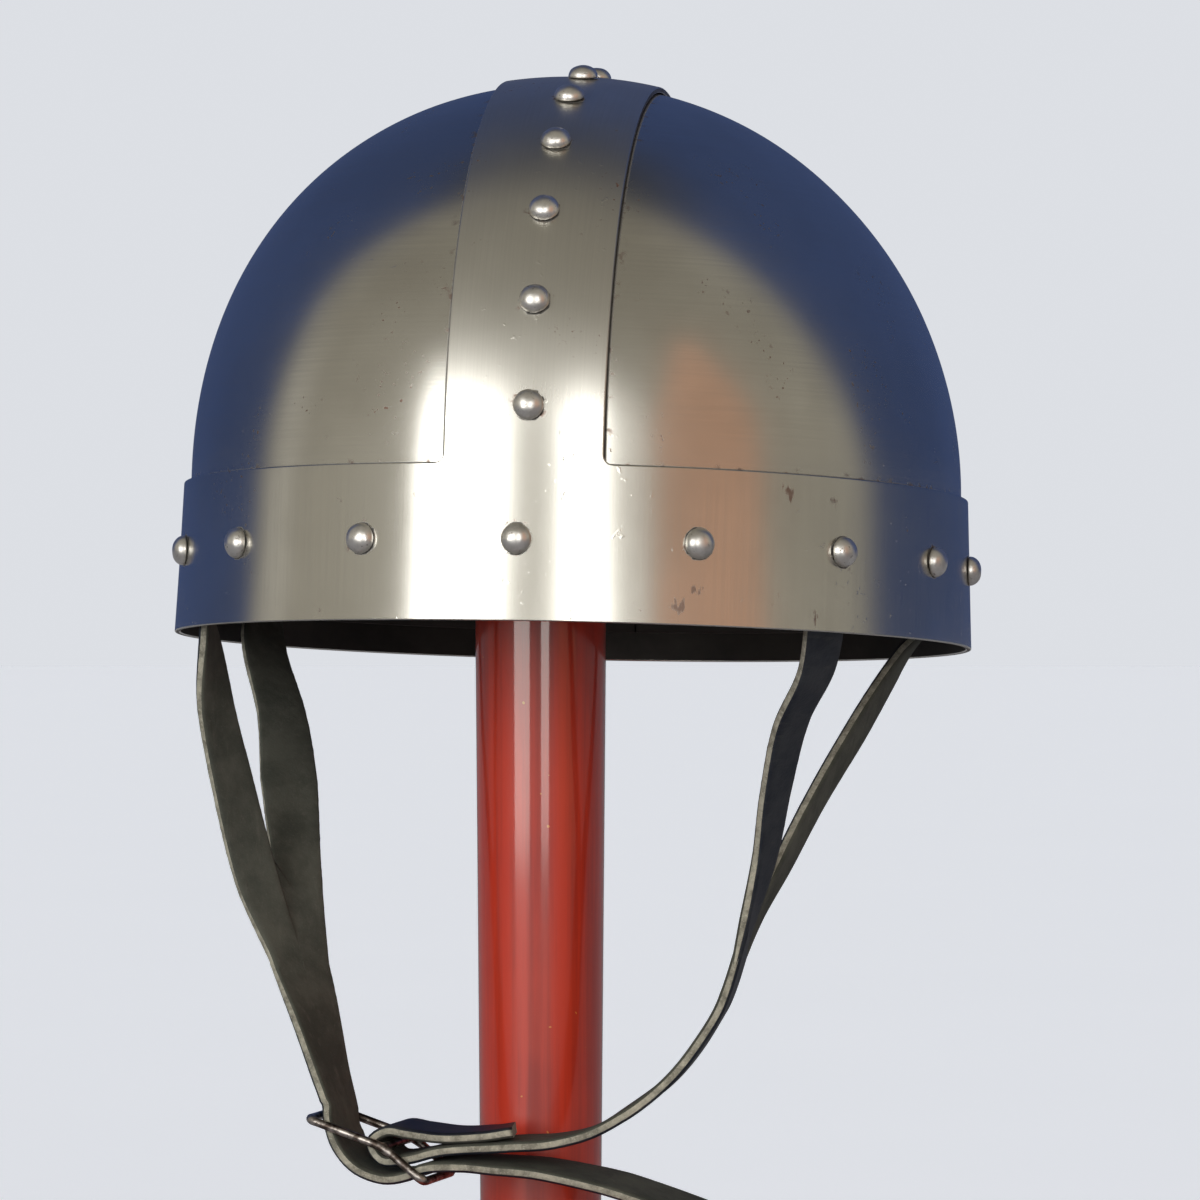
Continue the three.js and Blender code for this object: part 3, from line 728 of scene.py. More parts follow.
def centripetal(points, t):
    """The spline's point at t, with its tangent, where t counts stations."""
    spot = min(int(t), len(points) - 2)
    within = t - spot
    p1, p2 = points[spot], points[spot + 1]
    p0 = points[spot - 1] if spot > 0 else 2 * points[0] - points[1]
    p3 = points[spot + 2] if spot + 2 < len(points) else 2 * points[-1] - points[-2]
    gaps = [math.sqrt((b - a).length) for a, b in ((p0, p1), (p1, p2), (p2, p3))]
    middle = gaps[1] if gaps[1] > 1e-4 else 1
    before = gaps[0] if gaps[0] > 1e-4 else middle
    after = gaps[2] if gaps[2] > 1e-4 else middle
    t1 = ((p1 - p0) / before - (p2 - p0) / (before + middle)) * middle + (p2 - p1)
    t2 = (p2 - p1) - ((p3 - p1) / (middle + after) - (p3 - p2) / after) * middle
    c2 = -3 * p1 + 3 * p2 - 2 * t1 - t2
    c3 = 2 * p1 - 2 * p2 + t1 + t2
    at = p1 + t1 * within + c2 * within**2 + c3 * within**3
    return at, t1 + 2 * c2 * within + 3 * c3 * within**2


def section(width, skived, front):
    """Points round a strap's section and the finish of the face after each point."""
    wide, thick, faces = width / 2, STRAP_THICK * skived / 2, []
    back = FLESH if front == GRAIN else GRAIN
    for i in range(FACE_POINTS):
        across = (wide - CORNER) * (1 - 2 * i / (FACE_POINTS - 1))
        faces.append((across, thick, front))
    for i in range(EDGE_POINTS):
        height = (thick - CORNER) * (1 - 2 * i / (EDGE_POINTS - 1))
        faces.append((-wide, height, CUT if i < EDGE_POINTS - 1 else back))
    for i in range(FACE_POINTS):
        across = (wide - CORNER) * (2 * i / (FACE_POINTS - 1) - 1)
        faces.append((across, -thick, back))
    for i in range(EDGE_POINTS):
        height = (thick - CORNER) * (2 * i / (EDGE_POINTS - 1) - 1)
        faces.append((wide, height, CUT if i < EDGE_POINTS - 1 else front))
    return faces


def end_caps(rings, count):
    """The two faces that close the first and the last ring of a swept solid."""
    return [tuple(reversed(range(count))), tuple(range((rings - 1) * count, rings * count))]


def sweep(stations, front):
    """A strap along its stations, as points, faces and finishes."""
    middles = [stop[0] for stop in stations]
    sides = [stop[1] for stop in stations]
    points, times = [], []
    for spot in range(len(stations) - 1):
        steps = max(3, round((middles[spot + 1] - middles[spot]).length / STRAP_STEP))
        times += [spot + i / steps for i in range(steps)]
    times.append(len(stations) - 1)
    for t in times:
        at, along = centripetal(middles, t)
        spot = min(int(t), len(stations) - 2)
        here, there = stations[spot], stations[spot + 1]
        width, skived = (here[k] + (there[k] - here[k]) * (t - spot) for k in (2, 3))
        side, _ = centripetal(sides, t)
        side = (side - along * side.dot(along) / along.length_squared).normalized()
        face = along.cross(side).normalized()
        outline = section(width, skived, front)
        for across, height, _ in outline:
            point = at + side * across + face * height
            wander = noise.noise(point * SLOW_WANDER) + 0.5 * noise.noise(point * QUICK_WANDER)
            edge = abs(across) / (width / 2)
            points.append(point + side * math.copysign(WANDER * wander * edge, across))
    faces = ring_quads(0, len(times), len(outline)) + end_caps(len(times), len(outline))
    marks = [mark for _, _, mark in outline] * (len(times) - 1)
    return points, faces, marks + [CUT, CUT]


def fuse(body, parts):
    """Joins closed meshes into one and removes the parts."""
    for part in parts:
        join = body.modifiers.new("fuse", "BOOLEAN")
        join.operation = "UNION"
        join.solver = "MANIFOLD"
        join.object = part
    bpy.context.view_layer.update()
    depsgraph = bpy.context.evaluated_depsgraph_get()
    joined = bpy.data.meshes.new_from_object(body.evaluated_get(depsgraph))
    body.modifiers.clear()
    body.data = joined
    for part in parts:
        bpy.data.objects.remove(part)
    for face in body.data.polygons:
        face.use_smooth = True
    return body


def add_strap(name, node, run, legs):
    body = make_piece(name, *sweep(*run))
    fuse(body, [make_piece("leg", *sweep(*leg)) for leg in legs])
    return settle(body, STRAP_PLACE, node)


strap_right = add_strap(
    "chin_strap_right", "strap_right", (RIGHT_RUN, FLESH),
    [(RIGHT_FRONT_LEG, FLESH), (RIGHT_BACK_LEG, FLESH)],
)
strap_left = add_strap(
    "chin_strap_left", "strap_left", (LEFT_RUN, GRAIN),
    [(LEFT_FRONT_LEG, GRAIN), (LEFT_BACK_LEG, FLESH)],
)

# %% [markdown]
# ## The buckle
#
# It is bent from one length of round wire, with a bar across the middle. The wire thickens
# where it is bent tight and where the bar is beaten on, so the tube's radius swells there. The
# tube is swept by hand along rounded corners, because a curve object with a bevel can't swell
# and stay a closed solid as easily.

# %% Build the buckle
WIRE_RADIUS = 1.1
BUCKLE_WIDTH = 24
BUCKLE_CORNER = 3
WIRE_SIDES = 14
CORNER_STEPS = 7
SIDE_STEPS = 8
BAR_STEPS = 12
SWELL = 0.22
FIRST = Vector((-68.4, -50.1, -122.6))
MIDDLE = Vector((-48.9, -56, -129.4))
LAST = Vector((-38.5, -59, -138.1))
ACROSS = Vector(ALONG_THE_BARS).normalized()


def rounded_path(corners):
    """Points round a closed outline, with how close each is to the middle of a bend."""
    path = []
    for i, corner in enumerate(corners):
        before, after = corners[i - 1], corners[(i + 1) % len(corners)]
        entry = corner + (before - corner).normalized() * BUCKLE_CORNER
        leave = corner + (after - corner).normalized() * BUCKLE_CORNER
        for step in range(CORNER_STEPS):
            t = step / CORNER_STEPS
            point = entry * (1 - t) ** 2 + corner * 2 * t * (1 - t) + leave * t**2
            path.append((point, math.sin(math.pi * t)))
        following = after + (corner - after).normalized() * BUCKLE_CORNER
        for step in range(SIDE_STEPS):
            path.append((leave.lerp(following, step / SIDE_STEPS), 0))
    return path


def wire_ring(at, along, up, radius):
    over = along.cross(up).normalized()
    level = over.cross(along).normalized()
    spokes = [2 * math.pi * i / WIRE_SIDES for i in range(WIRE_SIDES)]
    return [at + (over * math.cos(a) + level * math.sin(a)) * radius for a in spokes]


near = [FIRST, MIDDLE, LAST]
far = [corner + ACROSS * BUCKLE_WIDTH for corner in reversed(near)]
path = rounded_path(near + far)
up = (MIDDLE - FIRST).cross(ACROSS).normalized()
loop_points = []
for i, (at, bend) in enumerate(path):
    along = (path[(i + 1) % len(path)][0] - path[i - 1][0]).normalized()
    radius = WIRE_RADIUS * (1 + SWELL * bend * (0.6 + 0.4 * noise.noise(at)))
    loop_points += wire_ring(at, along, up, radius)
loop_faces = ring_quads(0, len(path), WIRE_SIDES, joined=True)
buckle = make_piece("buckle_wire", loop_points, loop_faces)
bar_points = []
for i in range(BAR_STEPS + 1):
    at = MIDDLE + ACROSS * BUCKLE_WIDTH * i / BAR_STEPS
    end = abs(2 * i / BAR_STEPS - 1)
    bar_points += wire_ring(at, ACROSS, up, WIRE_RADIUS * (0.98 + SWELL * end**6))
bar_faces = ring_quads(0, BAR_STEPS + 1, WIRE_SIDES) + end_caps(BAR_STEPS + 1, WIRE_SIDES)
fuse(buckle, [make_piece("bar", bar_points, bar_faces)])
settle(buckle, STRAP_PLACE, "buckle")

# %% [markdown]
# ## The stand
#
# The post is turned from one blank, a little thicker at the top, with a spigot at its foot that
# sits in the base. Turned work is a profile spun round an axis, which is all a lathe does. The
# base is out of sight in most displays and is kept plain: a disc with a softened edge.

# %% Turn the stand
RIM_HEIGHT = 250
BASE_RADIUS = 105
BASE_THICK = 22
BASE_EDGE = 5
POST_RADIUS_AT_RIM = 17.2
POST_TAPER = 0.0086
POST_TOP = RIM_HEIGHT + 140
POST_ROUNDING = 6
SPIGOT_RADIUS = 12
SOCKET_CLEARANCE = 0.3
SOCKET_FLOOR = 6
SPIGOT_CHAMFER = 0.5
SHOULDER_CHAMFER = 0.6
FOOT_CHAMFER = 0.8
TURNED_SIDES = 128
ARC_STEPS = 8
POST_STEPS = 40


def post_radius(height):
    return POST_RADIUS_AT_RIM + POST_TAPER * (height - RIM_HEIGHT)


def post_profile():
    foot = BASE_THICK + SOCKET_CLEARANCE
    seat = SOCKET_FLOOR + SOCKET_CLEARANCE
    shoulder = POST_TOP - POST_ROUNDING
    side = foot + SHOULDER_CHAMFER
    profile = [(0, seat), (SPIGOT_RADIUS - SPIGOT_CHAMFER, seat)]
    profile += [(SPIGOT_RADIUS, seat + SPIGOT_CHAMFER), (SPIGOT_RADIUS, foot)]
    profile += [(post_radius(foot) - SHOULDER_CHAMFER, foot)]
    for i in range(POST_STEPS + 1):
        height = side + (shoulder - side) * i / POST_STEPS
        profile.append((post_radius(height), height))
    for i in range(1, ARC_STEPS + 1):
        angle = math.pi / 2 * i / ARC_STEPS
        inset = POST_ROUNDING * (1 - math.cos(angle))
        profile.append((post_radius(shoulder) - inset, shoulder + POST_ROUNDING * math.sin(angle)))
    return profile + [(0, POST_TOP)]


def base_profile():
    socket = SPIGOT_RADIUS + SOCKET_CLEARANCE
    profile = [(0, 0), (BASE_RADIUS - FOOT_CHAMFER, 0), (BASE_RADIUS, FOOT_CHAMFER)]
    for i in range(ARC_STEPS + 1):
        angle = math.pi / 2 * i / ARC_STEPS
        inset = BASE_EDGE * (1 - math.cos(angle))
        profile.append((BASE_RADIUS - inset, BASE_THICK - BASE_EDGE * (1 - math.sin(angle))))
    return profile + [
        (socket + SPIGOT_CHAMFER, BASE_THICK), (socket, BASE_THICK - SPIGOT_CHAMFER),
        (socket, SOCKET_FLOOR), (0, SOCKET_FLOOR),
    ]


STAND_PLACE = Matrix.Identity(4)
stand = []
for name, node, profile in (
    ("turned_post", "stand_post", post_profile()),
    ("turned_base", "stand_base", base_profile()),
):
    points, faces = lathe(profile, TURNED_SIDES)
    piece = settle(make_piece(name, points, faces), STAND_PLACE, node)
    stand.append(piece)

# %% [markdown]
# ## Writing shader maths as sums
#
# A material is a little circuit of nodes. Drawing each Math node by hand hides what the maths
# says, so one class wraps an output socket and lets Python's own operators add the nodes. With
# it, `1 - mask` or `height * 0.3 + lines` reads like the sentence it is. One method on the
# material makes every other kind of node: its type, then its settings, then what goes in.


# %% The shader wrapper
class Wire:
    """An output socket that can be added, multiplied and so on."""

    def __init__(self, shop, socket):
        self.shop = shop
        self.socket = socket

    def _math(self, operation, *values):
        return self.shop.node("ShaderNodeMath", {"operation": operation}, dict(enumerate(values)))

    def __add__(self, other):
        return self._math("ADD", self, other)

    def __mul__(self, other):
        return self._math("MULTIPLY", self, other)

    def __sub__(self, other):
        return self._math("SUBTRACT", self, other)

    def __rsub__(self, other):
        return self._math("SUBTRACT", other, self)

    def __gt__(self, other):
        return self._math("GREATER_THAN", self, other)

    def __abs__(self):
        return self._math("ABSOLUTE", self)

    __radd__ = __add__
    __rmul__ = __mul__

    def least(self, other):
        return self._math("MINIMUM", self, other)

    def most(self, other):
        return self._math("MAXIMUM", self, other)

    def between(self, low, high):
        """0 below low, 1 above high, with a soft step from one to the other."""
        return self.shop.node(
            "ShaderNodeMapRange", {"interpolation_type": "SMOOTHSTEP", "clamp": True},
            {"Value": self, "From Min": low, "From Max": high},
        )


class Finish:
    """A material, or the world, whose nodes are made by one method."""

    def __init__(self, name, owner=None):
        self.owner = owner or bpy.data.materials.new(name)
        self.owner.use_nodes = True
        self.tree = self.owner.node_tree
        self.tree.nodes.clear()

    def node(self, kind, settings=None, inputs=None, out=0):
        made = self.tree.nodes.new(kind)
        for key, value in (settings or {}).items():
            setattr(made, key, value)
        for key, value in (inputs or {}).items():
            if isinstance(value, Wire):
                self.tree.links.new(value.socket, made.inputs[key])
            else:
                made.inputs[key].default_value = value
        return Wire(self, made.outputs[out]) if len(made.outputs) else made

    def place(self):
        """The point on the surface in its own group's frame, in metres."""
        return self.node("ShaderNodeAttribute", {"attribute_name": "own_place"}, out="Vector")

    def stretch(self, vector, amounts):
        return self.node("ShaderNodeVectorMath", {"operation": "MULTIPLY"}, {0: vector, 1: amounts})

    def clouds(self, vector, scale, detail=3, roughness=0.5):
        return self.node(
            "ShaderNodeTexNoise", None,
            {"Vector": vector, "Scale": scale, "Detail": detail, "Roughness": roughness},
        )

    def axis(self, vector, name):
        return self.node("ShaderNodeSeparateXYZ", None, {0: vector}, out=name)

    def mark(self, name):
        """A value stored on the mesh."""
        return self.node("ShaderNodeAttribute", {"attribute_name": name}, out="Fac")

    def blend(self, factor, first, second):
        """The first colour where the factor is 0 and the second where it is 1."""
        return self.node(
            "ShaderNodeMix", {"data_type": "RGBA"}, {0: factor, 6: first, 7: second}, out=2,
        )

    def relief(self, height, strength, distance, over=None):
        """Bumps from a height, over another relief if there is one."""
        inputs = {"Height": height, "Strength": strength, "Distance": distance}
        if over:
            inputs["Normal"] = over
        return self.node("ShaderNodeBump", None, inputs)

    def surface(self, **inputs):
        """The Principled shader, with its sockets named with underscores for spaces."""
        named = {key.replace("_", " "): value for key, value in inputs.items()}
        shader = self.node("ShaderNodeBsdfPrincipled", None, named)
        self.node("ShaderNodeOutputMaterial", None, {"Surface": shader})
        return self.owner


def shade(red, green, blue):
    return red, green, blue, 1


def dress(piece, *materials):
    """Gives a piece its materials, one for each finish number."""
    slots = piece.data.materials
    for i, material in enumerate(materials):
        if i < len(slots):
            slots[i] = material
        else:
            slots.append(material)


print("workshop ready")

# %% [markdown]
# ## Where dirt and painted shade gather
#
# Grime, a painted contact shadow and a breath of rust sit close round each rivet head, where a
# polishing wheel can't reach, and a few damp spots on the band have started to stain. How close
# a point is to its nearest rivet, and how deep it lies in a stain, is worked out once per mesh
# point and stored on the mesh, because a shader that measured all those distances would be slow.

# %% Store the closeness of rivets and stains
RING_FADE = 1.5
STAINS = [(22.9, 4.5, 2.2), (25.2, 8.5, 1.5), (43.6, 4, 2.2), (39, 34.5, 2.4), (47, 33, 1.8)]


def on_helmet(point):
    return HELMET_PLACE @ (point * MM)


rivet_middles = [on_helmet(spot) for spot in rivet_spots]
stain_middles = []
for degrees, height, size in STAINS:
    middle = on_helmet(band_point(math.radians(degrees), height, FRAME_OUTER))
    stain_middles.append((middle, size * MM))


def ring_at(point):
    """1 at a rivet head's rim, fading outwards."""
    away = min((point - spot).length for spot in rivet_middles) / MM - HEAD_RADIUS
    return min(1, math.exp(-away / RING_FADE))


def stain_at(point):
    """1 in the middle of a stain, fading to its edge."""
    return max(math.exp(-(((point - spot).length / size) ** 2)) for spot, size in stain_middles)


for name, value_at in (("rivet_ring", ring_at), ("stain", stain_at)):
    stored = helmet_frame.data.attributes.new(name, "FLOAT", "POINT")
    stored.data.foreach_set("value", [value_at(v.co) for v in helmet_frame.data.vertices])
print("rivet rings and", len(STAINS), "stains stored on", helmet_frame.name)

# %% [markdown]
# ## Polished sheet iron
#
# The sheet is polished with a belt and then handled. So its colour is the warm grey of bare
# iron with faint clouds, its roughness is low and uneven, and very fine lines run the way the
# belt went: round the band and half domes, and along the crown strip. The lines are noise
# squeezed hard in one direction. Nicks and specks of rust are small thresholds of finer noise,
# let through only where a slower noise allows them, so that they come in patches.
#
# Dull grime and painted shade fill two places: a thin ring round each rivet head, and the seam
# where the frame ends on a half dome. In each place it is dirt together with a painted contact
# shadow. It isn't metallic, so it stays dark whatever the room shows. The crown strip is a
# little duller higher up, where the belt is hard to hold flat.

# %% Iron finishes
IRON_LIGHT = shade(0.66, 0.645, 0.60)
IRON_DARK = shade(0.56, 0.545, 0.50)
IN_THE_LINES = shade(0.36, 0.35, 0.33)
LINE_DEPTH = 0.14
RUST = shade(0.16, 0.055, 0.025)
# colour of grime and of painted shade, round rivet heads and along the frame's seam
GRIME_AND_SHADE = shade(0.02, 0.018, 0.016)
SEAM_WIDTH = 0.45 * MM
RUSTY_SEAM_WIDTH = 4 * SEAM_WIDTH
SEAM_AT_STRIP = 0.6
STRIP_DULL_FROM = 42 * MM
STRIP_DULL_TO = 72 * MM
STRIP_DULLNESS = 0.13
RUN_STAIN = (900, 900, 330)


def polished_iron(name, lines, frame_part):
    """The frame's finish with rings and stains, or the half domes' with their seams."""
    shop = Finish(name)
    place = shop.place()
    fine = shop.clouds(shop.stretch(place, lines), 1, 3, 0.65)
    cloud = shop.clouds(place, 16, 4, 0.55)
    handled = shop.clouds(place, 60, 4, 0.6)
    patches = shop.clouds(place, 42, 2).between(0.56, 0.68)
    specks = shop.clouds(place, 780, 1).between(0.66, 0.74) * patches
    dirt = specks * 0.8
    if frame_part:
        ring_mark = shop.mark("rivet_ring")
        close_by = ring_mark.between(0.35, 0.85)
        ring_rust = shop.clouds(place, 420, 2).between(0.58, 0.7) * close_by * 0.7
        stain = shop.mark("stain")
        runs = shop.clouds(shop.stretch(place, RUN_STAIN), 1, 3)
        stained = (runs + stain * 0.3).between(0.66, 0.82) * stain.between(0.08, 0.4)
        dirt = dirt.most(ring_rust).most(stained * 0.65)
        # painted shade: a dark, dull ring at each rivet head's rim, both grime and the head's contact
        # shadow
        dull = ring_mark.between(0.8, 0.93) * 0.85
    else:
        across = shop.axis(place, "X")
        height = shop.axis(place, "Z")
        beside = abs(across - RIDGE_OFFSET * MM) - RIDGE_HALF * MM
        gap = (beside * SEAM_AT_STRIP).least(height - BAND_HEIGHT * MM)
        crumbs = shop.clouds(place, 350, 3).between(0.56, 0.7)
        dirt = dirt.most((1 - gap.between(0, RUSTY_SEAM_WIDTH)) * crumbs * 0.75)
        # painted shade: a dark, dull line on the half dome where the frame ends, both dirt and the
        # shadow in the seam
        dull = 1 - gap.between(0, SEAM_WIDTH)
    colour = shop.blend(cloud.between(0.35, 0.65), IRON_LIGHT, IRON_DARK)
    colour = shop.blend(fine.between(0.3, 0.7) * LINE_DEPTH, colour, IN_THE_LINES)
    colour = shop.blend(dirt, colour, RUST)
    colour = shop.blend(dull, colour, GRIME_AND_SHADE)
    roughness = 0.1 + cloud * 0.08 + handled * 0.05 + fine * 0.1 + dirt * 0.4 + dull * 0.5
    if frame_part:
        up = shop.axis(place, "Z")
        roughness = roughness + up.between(STRIP_DULL_FROM, STRIP_DULL_TO) * STRIP_DULLNESS
    nicks = shop.clouds(place, 430, 3).between(0.66, 0.76)
    nicks = nicks * shop.clouds(place, 30, 2).between(0.5, 0.6)
    nicked = shop.relief(nicks, 0.22, 0.2 * MM)
    height = fine * 0.3 + handled * 0.5 - specks * 0.8
    return shop.surface(
        Base_Color=colour, Metallic=1 - dull, Roughness=roughness,
        Normal=shop.relief(height, 0.07, 0.1 * MM, nicked),
    )


def dark_inside():
    shop = Finish("oiled_and_shaded_inside")
    place = shop.place()
    cloud = shop.clouds(place, 30, 5, 0.6)
    # painted shade: the inside's near-black colour is oiled iron darkened for the shade inside the
    # helmet
    colour = shop.blend(cloud.between(0.3, 0.7), shade(0.018, 0.016, 0.015), shade(0.05, 0.045, 0.04))
    return shop.surface(
        Base_Color=colour, Metallic=0.7, Roughness=0.5 + cloud * 0.25,
        Normal=shop.relief(shop.clouds(place, 300, 4, 0.6), 0.3, 0.2 * MM),
    )


def mottled_metal(name, scale, limits, tones, smoothest, relief):
    """Bare metal in two tones, rougher where it is of the second tone."""
    shop = Finish(name)
    cloud = shop.clouds(shop.place(), scale, 4, 0.6)
    return shop.surface(
        Base_Color=shop.blend(cloud.between(*limits), *tones), Metallic=1,
        Roughness=smoothest + cloud * 0.25, Normal=shop.relief(cloud, *relief),
    )


def rivet_iron():
    shop = Finish("hammered_rivet_iron")
    place = shop.place()
    cloud = shop.clouds(place, 260, 3, 0.6)
    pits = shop.clouds(place, 900, 2).between(0.62, 0.75)
    colour = shop.blend(cloud.between(0.35, 0.7), shade(0.78, 0.76, 0.73), shade(0.58, 0.56, 0.53))
    colour = shop.blend(pits * 0.6, colour, shade(0.12, 0.09, 0.07))
    return shop.surface(
        Base_Color=colour, Metallic=1, Roughness=0.26 + cloud * 0.18 + pits * 0.2,
        Normal=shop.relief(cloud - pits * 0.5, 0.25, 0.15 * MM),
    )


ROUND_LINES = (26, 26, 2300)
ALONG_LINES = (2300, 26, 26)
dome_iron = polished_iron("polished_dome_iron", ROUND_LINES, frame_part=False)
frame_iron = polished_iron("polished_frame_iron", ALONG_LINES, frame_part=True)
inside_iron = dark_inside()
SHEARED_TONES = shade(0.2, 0.19, 0.175), shade(0.08, 0.07, 0.06)
edge_iron = mottled_metal(
    "sheared_iron_edge", 240, (0.35, 0.7), SHEARED_TONES, 0.34, (0.3, 0.15 * MM),
)
dress(helmet_frame, frame_iron, inside_iron, edge_iron)
for half in half_domes:
    dress(half, dome_iron, inside_iron, edge_iron)
head_iron = rivet_iron()
for rivet in rivets:
    dress(rivet, head_iron)
print("iron finishes made")

# %% [markdown]
# ## Leather, inside and out
#
# Vegetable-tanned leather has three looks on one strap. The grain side is smooth, dyed nearly
# black with a blue tint that is a painted reflection of a blue cloth, and slightly waxy, with tiny
# cells and stretch creases. The flesh side is a matt nap.
# The cut edge was never dyed through, so it shows the pale fibres of the hide, rubbed dark in
# places. Cells come from a Voronoi texture, the fibres from fine noise, and the creases and
# streaks from stretched noise.


# %% Leather finishes
def leather_grain():
    shop = Finish("leather_grain_side")
    place = shop.place()
    wear = shop.clouds(place, 90, 5, 0.65)
    cells = shop.node("ShaderNodeTexVoronoi", None, {"Vector": place, "Scale": 1100})
    creases = shop.clouds(shop.stretch(place, (120, 120, 700)), 1, 4, 0.6)
    # painted reflection: the blue tint in the grain's near-black dye stands for the blue cloth it
    # reflects
    colour = shop.blend(wear.between(0.35, 0.72), shade(0.013, 0.018, 0.03), shade(0.04, 0.046, 0.056))
    colour = shop.blend(creases.between(0.58, 0.75) * 0.4, colour, shade(0.075, 0.075, 0.07))
    return shop.surface(
        Base_Color=colour, Roughness=0.42 + wear * 0.22, Specular_IOR_Level=0.3,
        Normal=shop.relief(cells * 0.5 + creases, 0.35, 0.25 * MM),
    )


def leather_flesh():
    shop = Finish("leather_flesh_side")
    place = shop.place()
    nap = shop.clouds(place, 1500, 3, 0.7)
    wear = shop.clouds(place, 70, 5, 0.65)
    streaks = shop.clouds(shop.stretch(place, (420, 420, 60)), 1, 4, 0.6)
    colour = shop.blend(wear.between(0.3, 0.7), shade(0.052, 0.057, 0.046), shade(0.104, 0.108, 0.088))
    colour = shop.blend(streaks.between(0.55, 0.75) * 0.5, colour, shade(0.135, 0.135, 0.11))
    colour = shop.blend(nap.between(0.55, 0.75) * 0.35, colour, shade(0.18, 0.178, 0.145))
    return shop.surface(
        Base_Color=colour, Roughness=0.78 + nap * 0.2,
        Normal=shop.relief(nap * 0.6 + streaks * 0.6, 0.5, 0.3 * MM),
    )


def leather_cut():
    shop = Finish("leather_cut_edge")
    place = shop.place()
    fibres = shop.clouds(place, 1300, 4, 0.7)
    rubbed = shop.clouds(place, 260, 4, 0.65)
    colour = shop.blend(rubbed.between(0.3, 0.75), shade(0.50, 0.48, 0.39), shade(0.16, 0.155, 0.125))
    colour = shop.blend(fibres.between(0.5, 0.7) * 0.5, colour, shade(0.72, 0.69, 0.58))
    return shop.surface(
        Base_Color=colour, Roughness=0.8 + fibres * 0.15,
        Normal=shop.relief(fibres + rubbed, 0.6, 0.35 * MM),
    )


leathers = leather_grain(), leather_flesh(), leather_cut()
dress(strap_right, *leathers)
dress(strap_left, *leathers)
print("leather finishes made")

# %% [markdown]
# ## Wire and lacquer
#
# The wire is darker and duller than the sheet, with a brown film where nobody rubs it. The
# wood is softwood under a red-brown stain and a thick clear lacquer. The stain follows the
# grain, and the lacquer is the shader's coat: a second, smooth reflection over the colour. A
# few pin-head chips show the pale wood below.


# %% Wire and lacquer finishes
WIRE_TONES = shade(0.48, 0.44, 0.41), shade(0.09, 0.07, 0.06)
UP_THE_POST = (210, 210, 5)
ACROSS_THE_BASE = (210, 5, 210)


def lacquered_wood(name, grain_run):
    shop = Finish(name)
    place = shop.place()
    grain = shop.clouds(shop.stretch(place, grain_run), 1, 5, 0.6)
    cloud = shop.clouds(place, 22, 3)
    chips = shop.clouds(place, 330, 1).between(0.79, 0.81)
    colour = shop.blend(grain.between(0.35, 0.7), shade(0.64, 0.031, 0.006), shade(0.34, 0.012, 0.003))
    colour = shop.blend(cloud.between(0.3, 0.7) * 0.35, colour, shade(0.76, 0.05, 0.009))
    colour = shop.blend(chips, colour, shade(0.75, 0.28, 0.05))
    ripple = shop.clouds(shop.stretch(place, (60, 60, 22)), 1, 2)
    return shop.surface(
        Base_Color=colour, Roughness=0.42, Coat_Weight=1, Coat_Roughness=0.07,
        Normal=shop.relief(ripple, 0.05, 0.3 * MM),
    )


wire = mottled_metal("tarnished_wire", 320, (0.4, 0.62), WIRE_TONES, 0.24, (0.2, 0.1 * MM))
dress(buckle, wire)
for piece, run in zip(stand, (UP_THE_POST, ACROSS_THE_BASE)):
    dress(piece, lacquered_wood(piece.name + "_lacquer", run))
print("wire and lacquer made")

# %% [markdown]
# ## The floor
#
# The floor is a wide plain disc in a pale, dull paint. It also glows for the camera alone, so
# the ground reads as one even sheet, while the iron shows only the light that falls on it. Its
# gloss is off, since bright panes low in the room would lay a hot patch on it.

# %% Floor
FLOOR_RADIUS = 25
FLOOR_SIDES = 64
FLOOR_GLOW = shade(0.50, 0.52, 0.556)
NO_LIGHT = shade(0, 0, 0)


def add_panel(name, points, finish):
    """One flat face on the stage, which belongs to the studio and not to the helmet."""
    mesh = bpy.data.meshes.new(name)
    mesh.from_pydata(points, [], [tuple(range(len(points)))])
    panel = bpy.data.objects.new(name, mesh)
    bpy.context.scene.collection.objects.link(panel)
    panel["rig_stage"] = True
    dress(panel, finish)
    print(name, "has", len(points), "corners")
    return panel


turns = [2 * math.pi * i / FLOOR_SIDES for i in range(FLOOR_SIDES)]
rim = [(FLOOR_RADIUS * math.cos(a), FLOOR_RADIUS * math.sin(a), 0) for a in turns]
paint = Finish("pale_floor")
faint = paint.clouds(paint.node("ShaderNodeTexCoord", out="Object"), 3, 2)
lit_for_camera = paint.node("ShaderNodeLightPath", out="Is Camera Ray")
add_panel("floor", rim, paint.surface(
    Base_Color=paint.blend(faint, shade(0.70, 0.71, 0.73), shade(0.74, 0.75, 0.77)),
    Roughness=0.9, Specular_IOR_Level=0, Emission_Strength=1,
    Emission_Color=paint.blend(lit_for_camera, NO_LIGHT, FLOOR_GLOW),
))

# %% [markdown]
# ## The room
#
# Polished iron shows its surroundings more than its own colour, so the studio matters as much
# as the finish. The room has no walls: the world's shader paints it by direction. In front it
# is dim and warm with faint upright streaks. Two bright panes with soft edges stand in it and
# light the scene, and three far weaker ones give the iron its grey stripes. Behind and above
# it is dark and cool, which gives the dome its dark rim. The camera sees a plain pale ground.

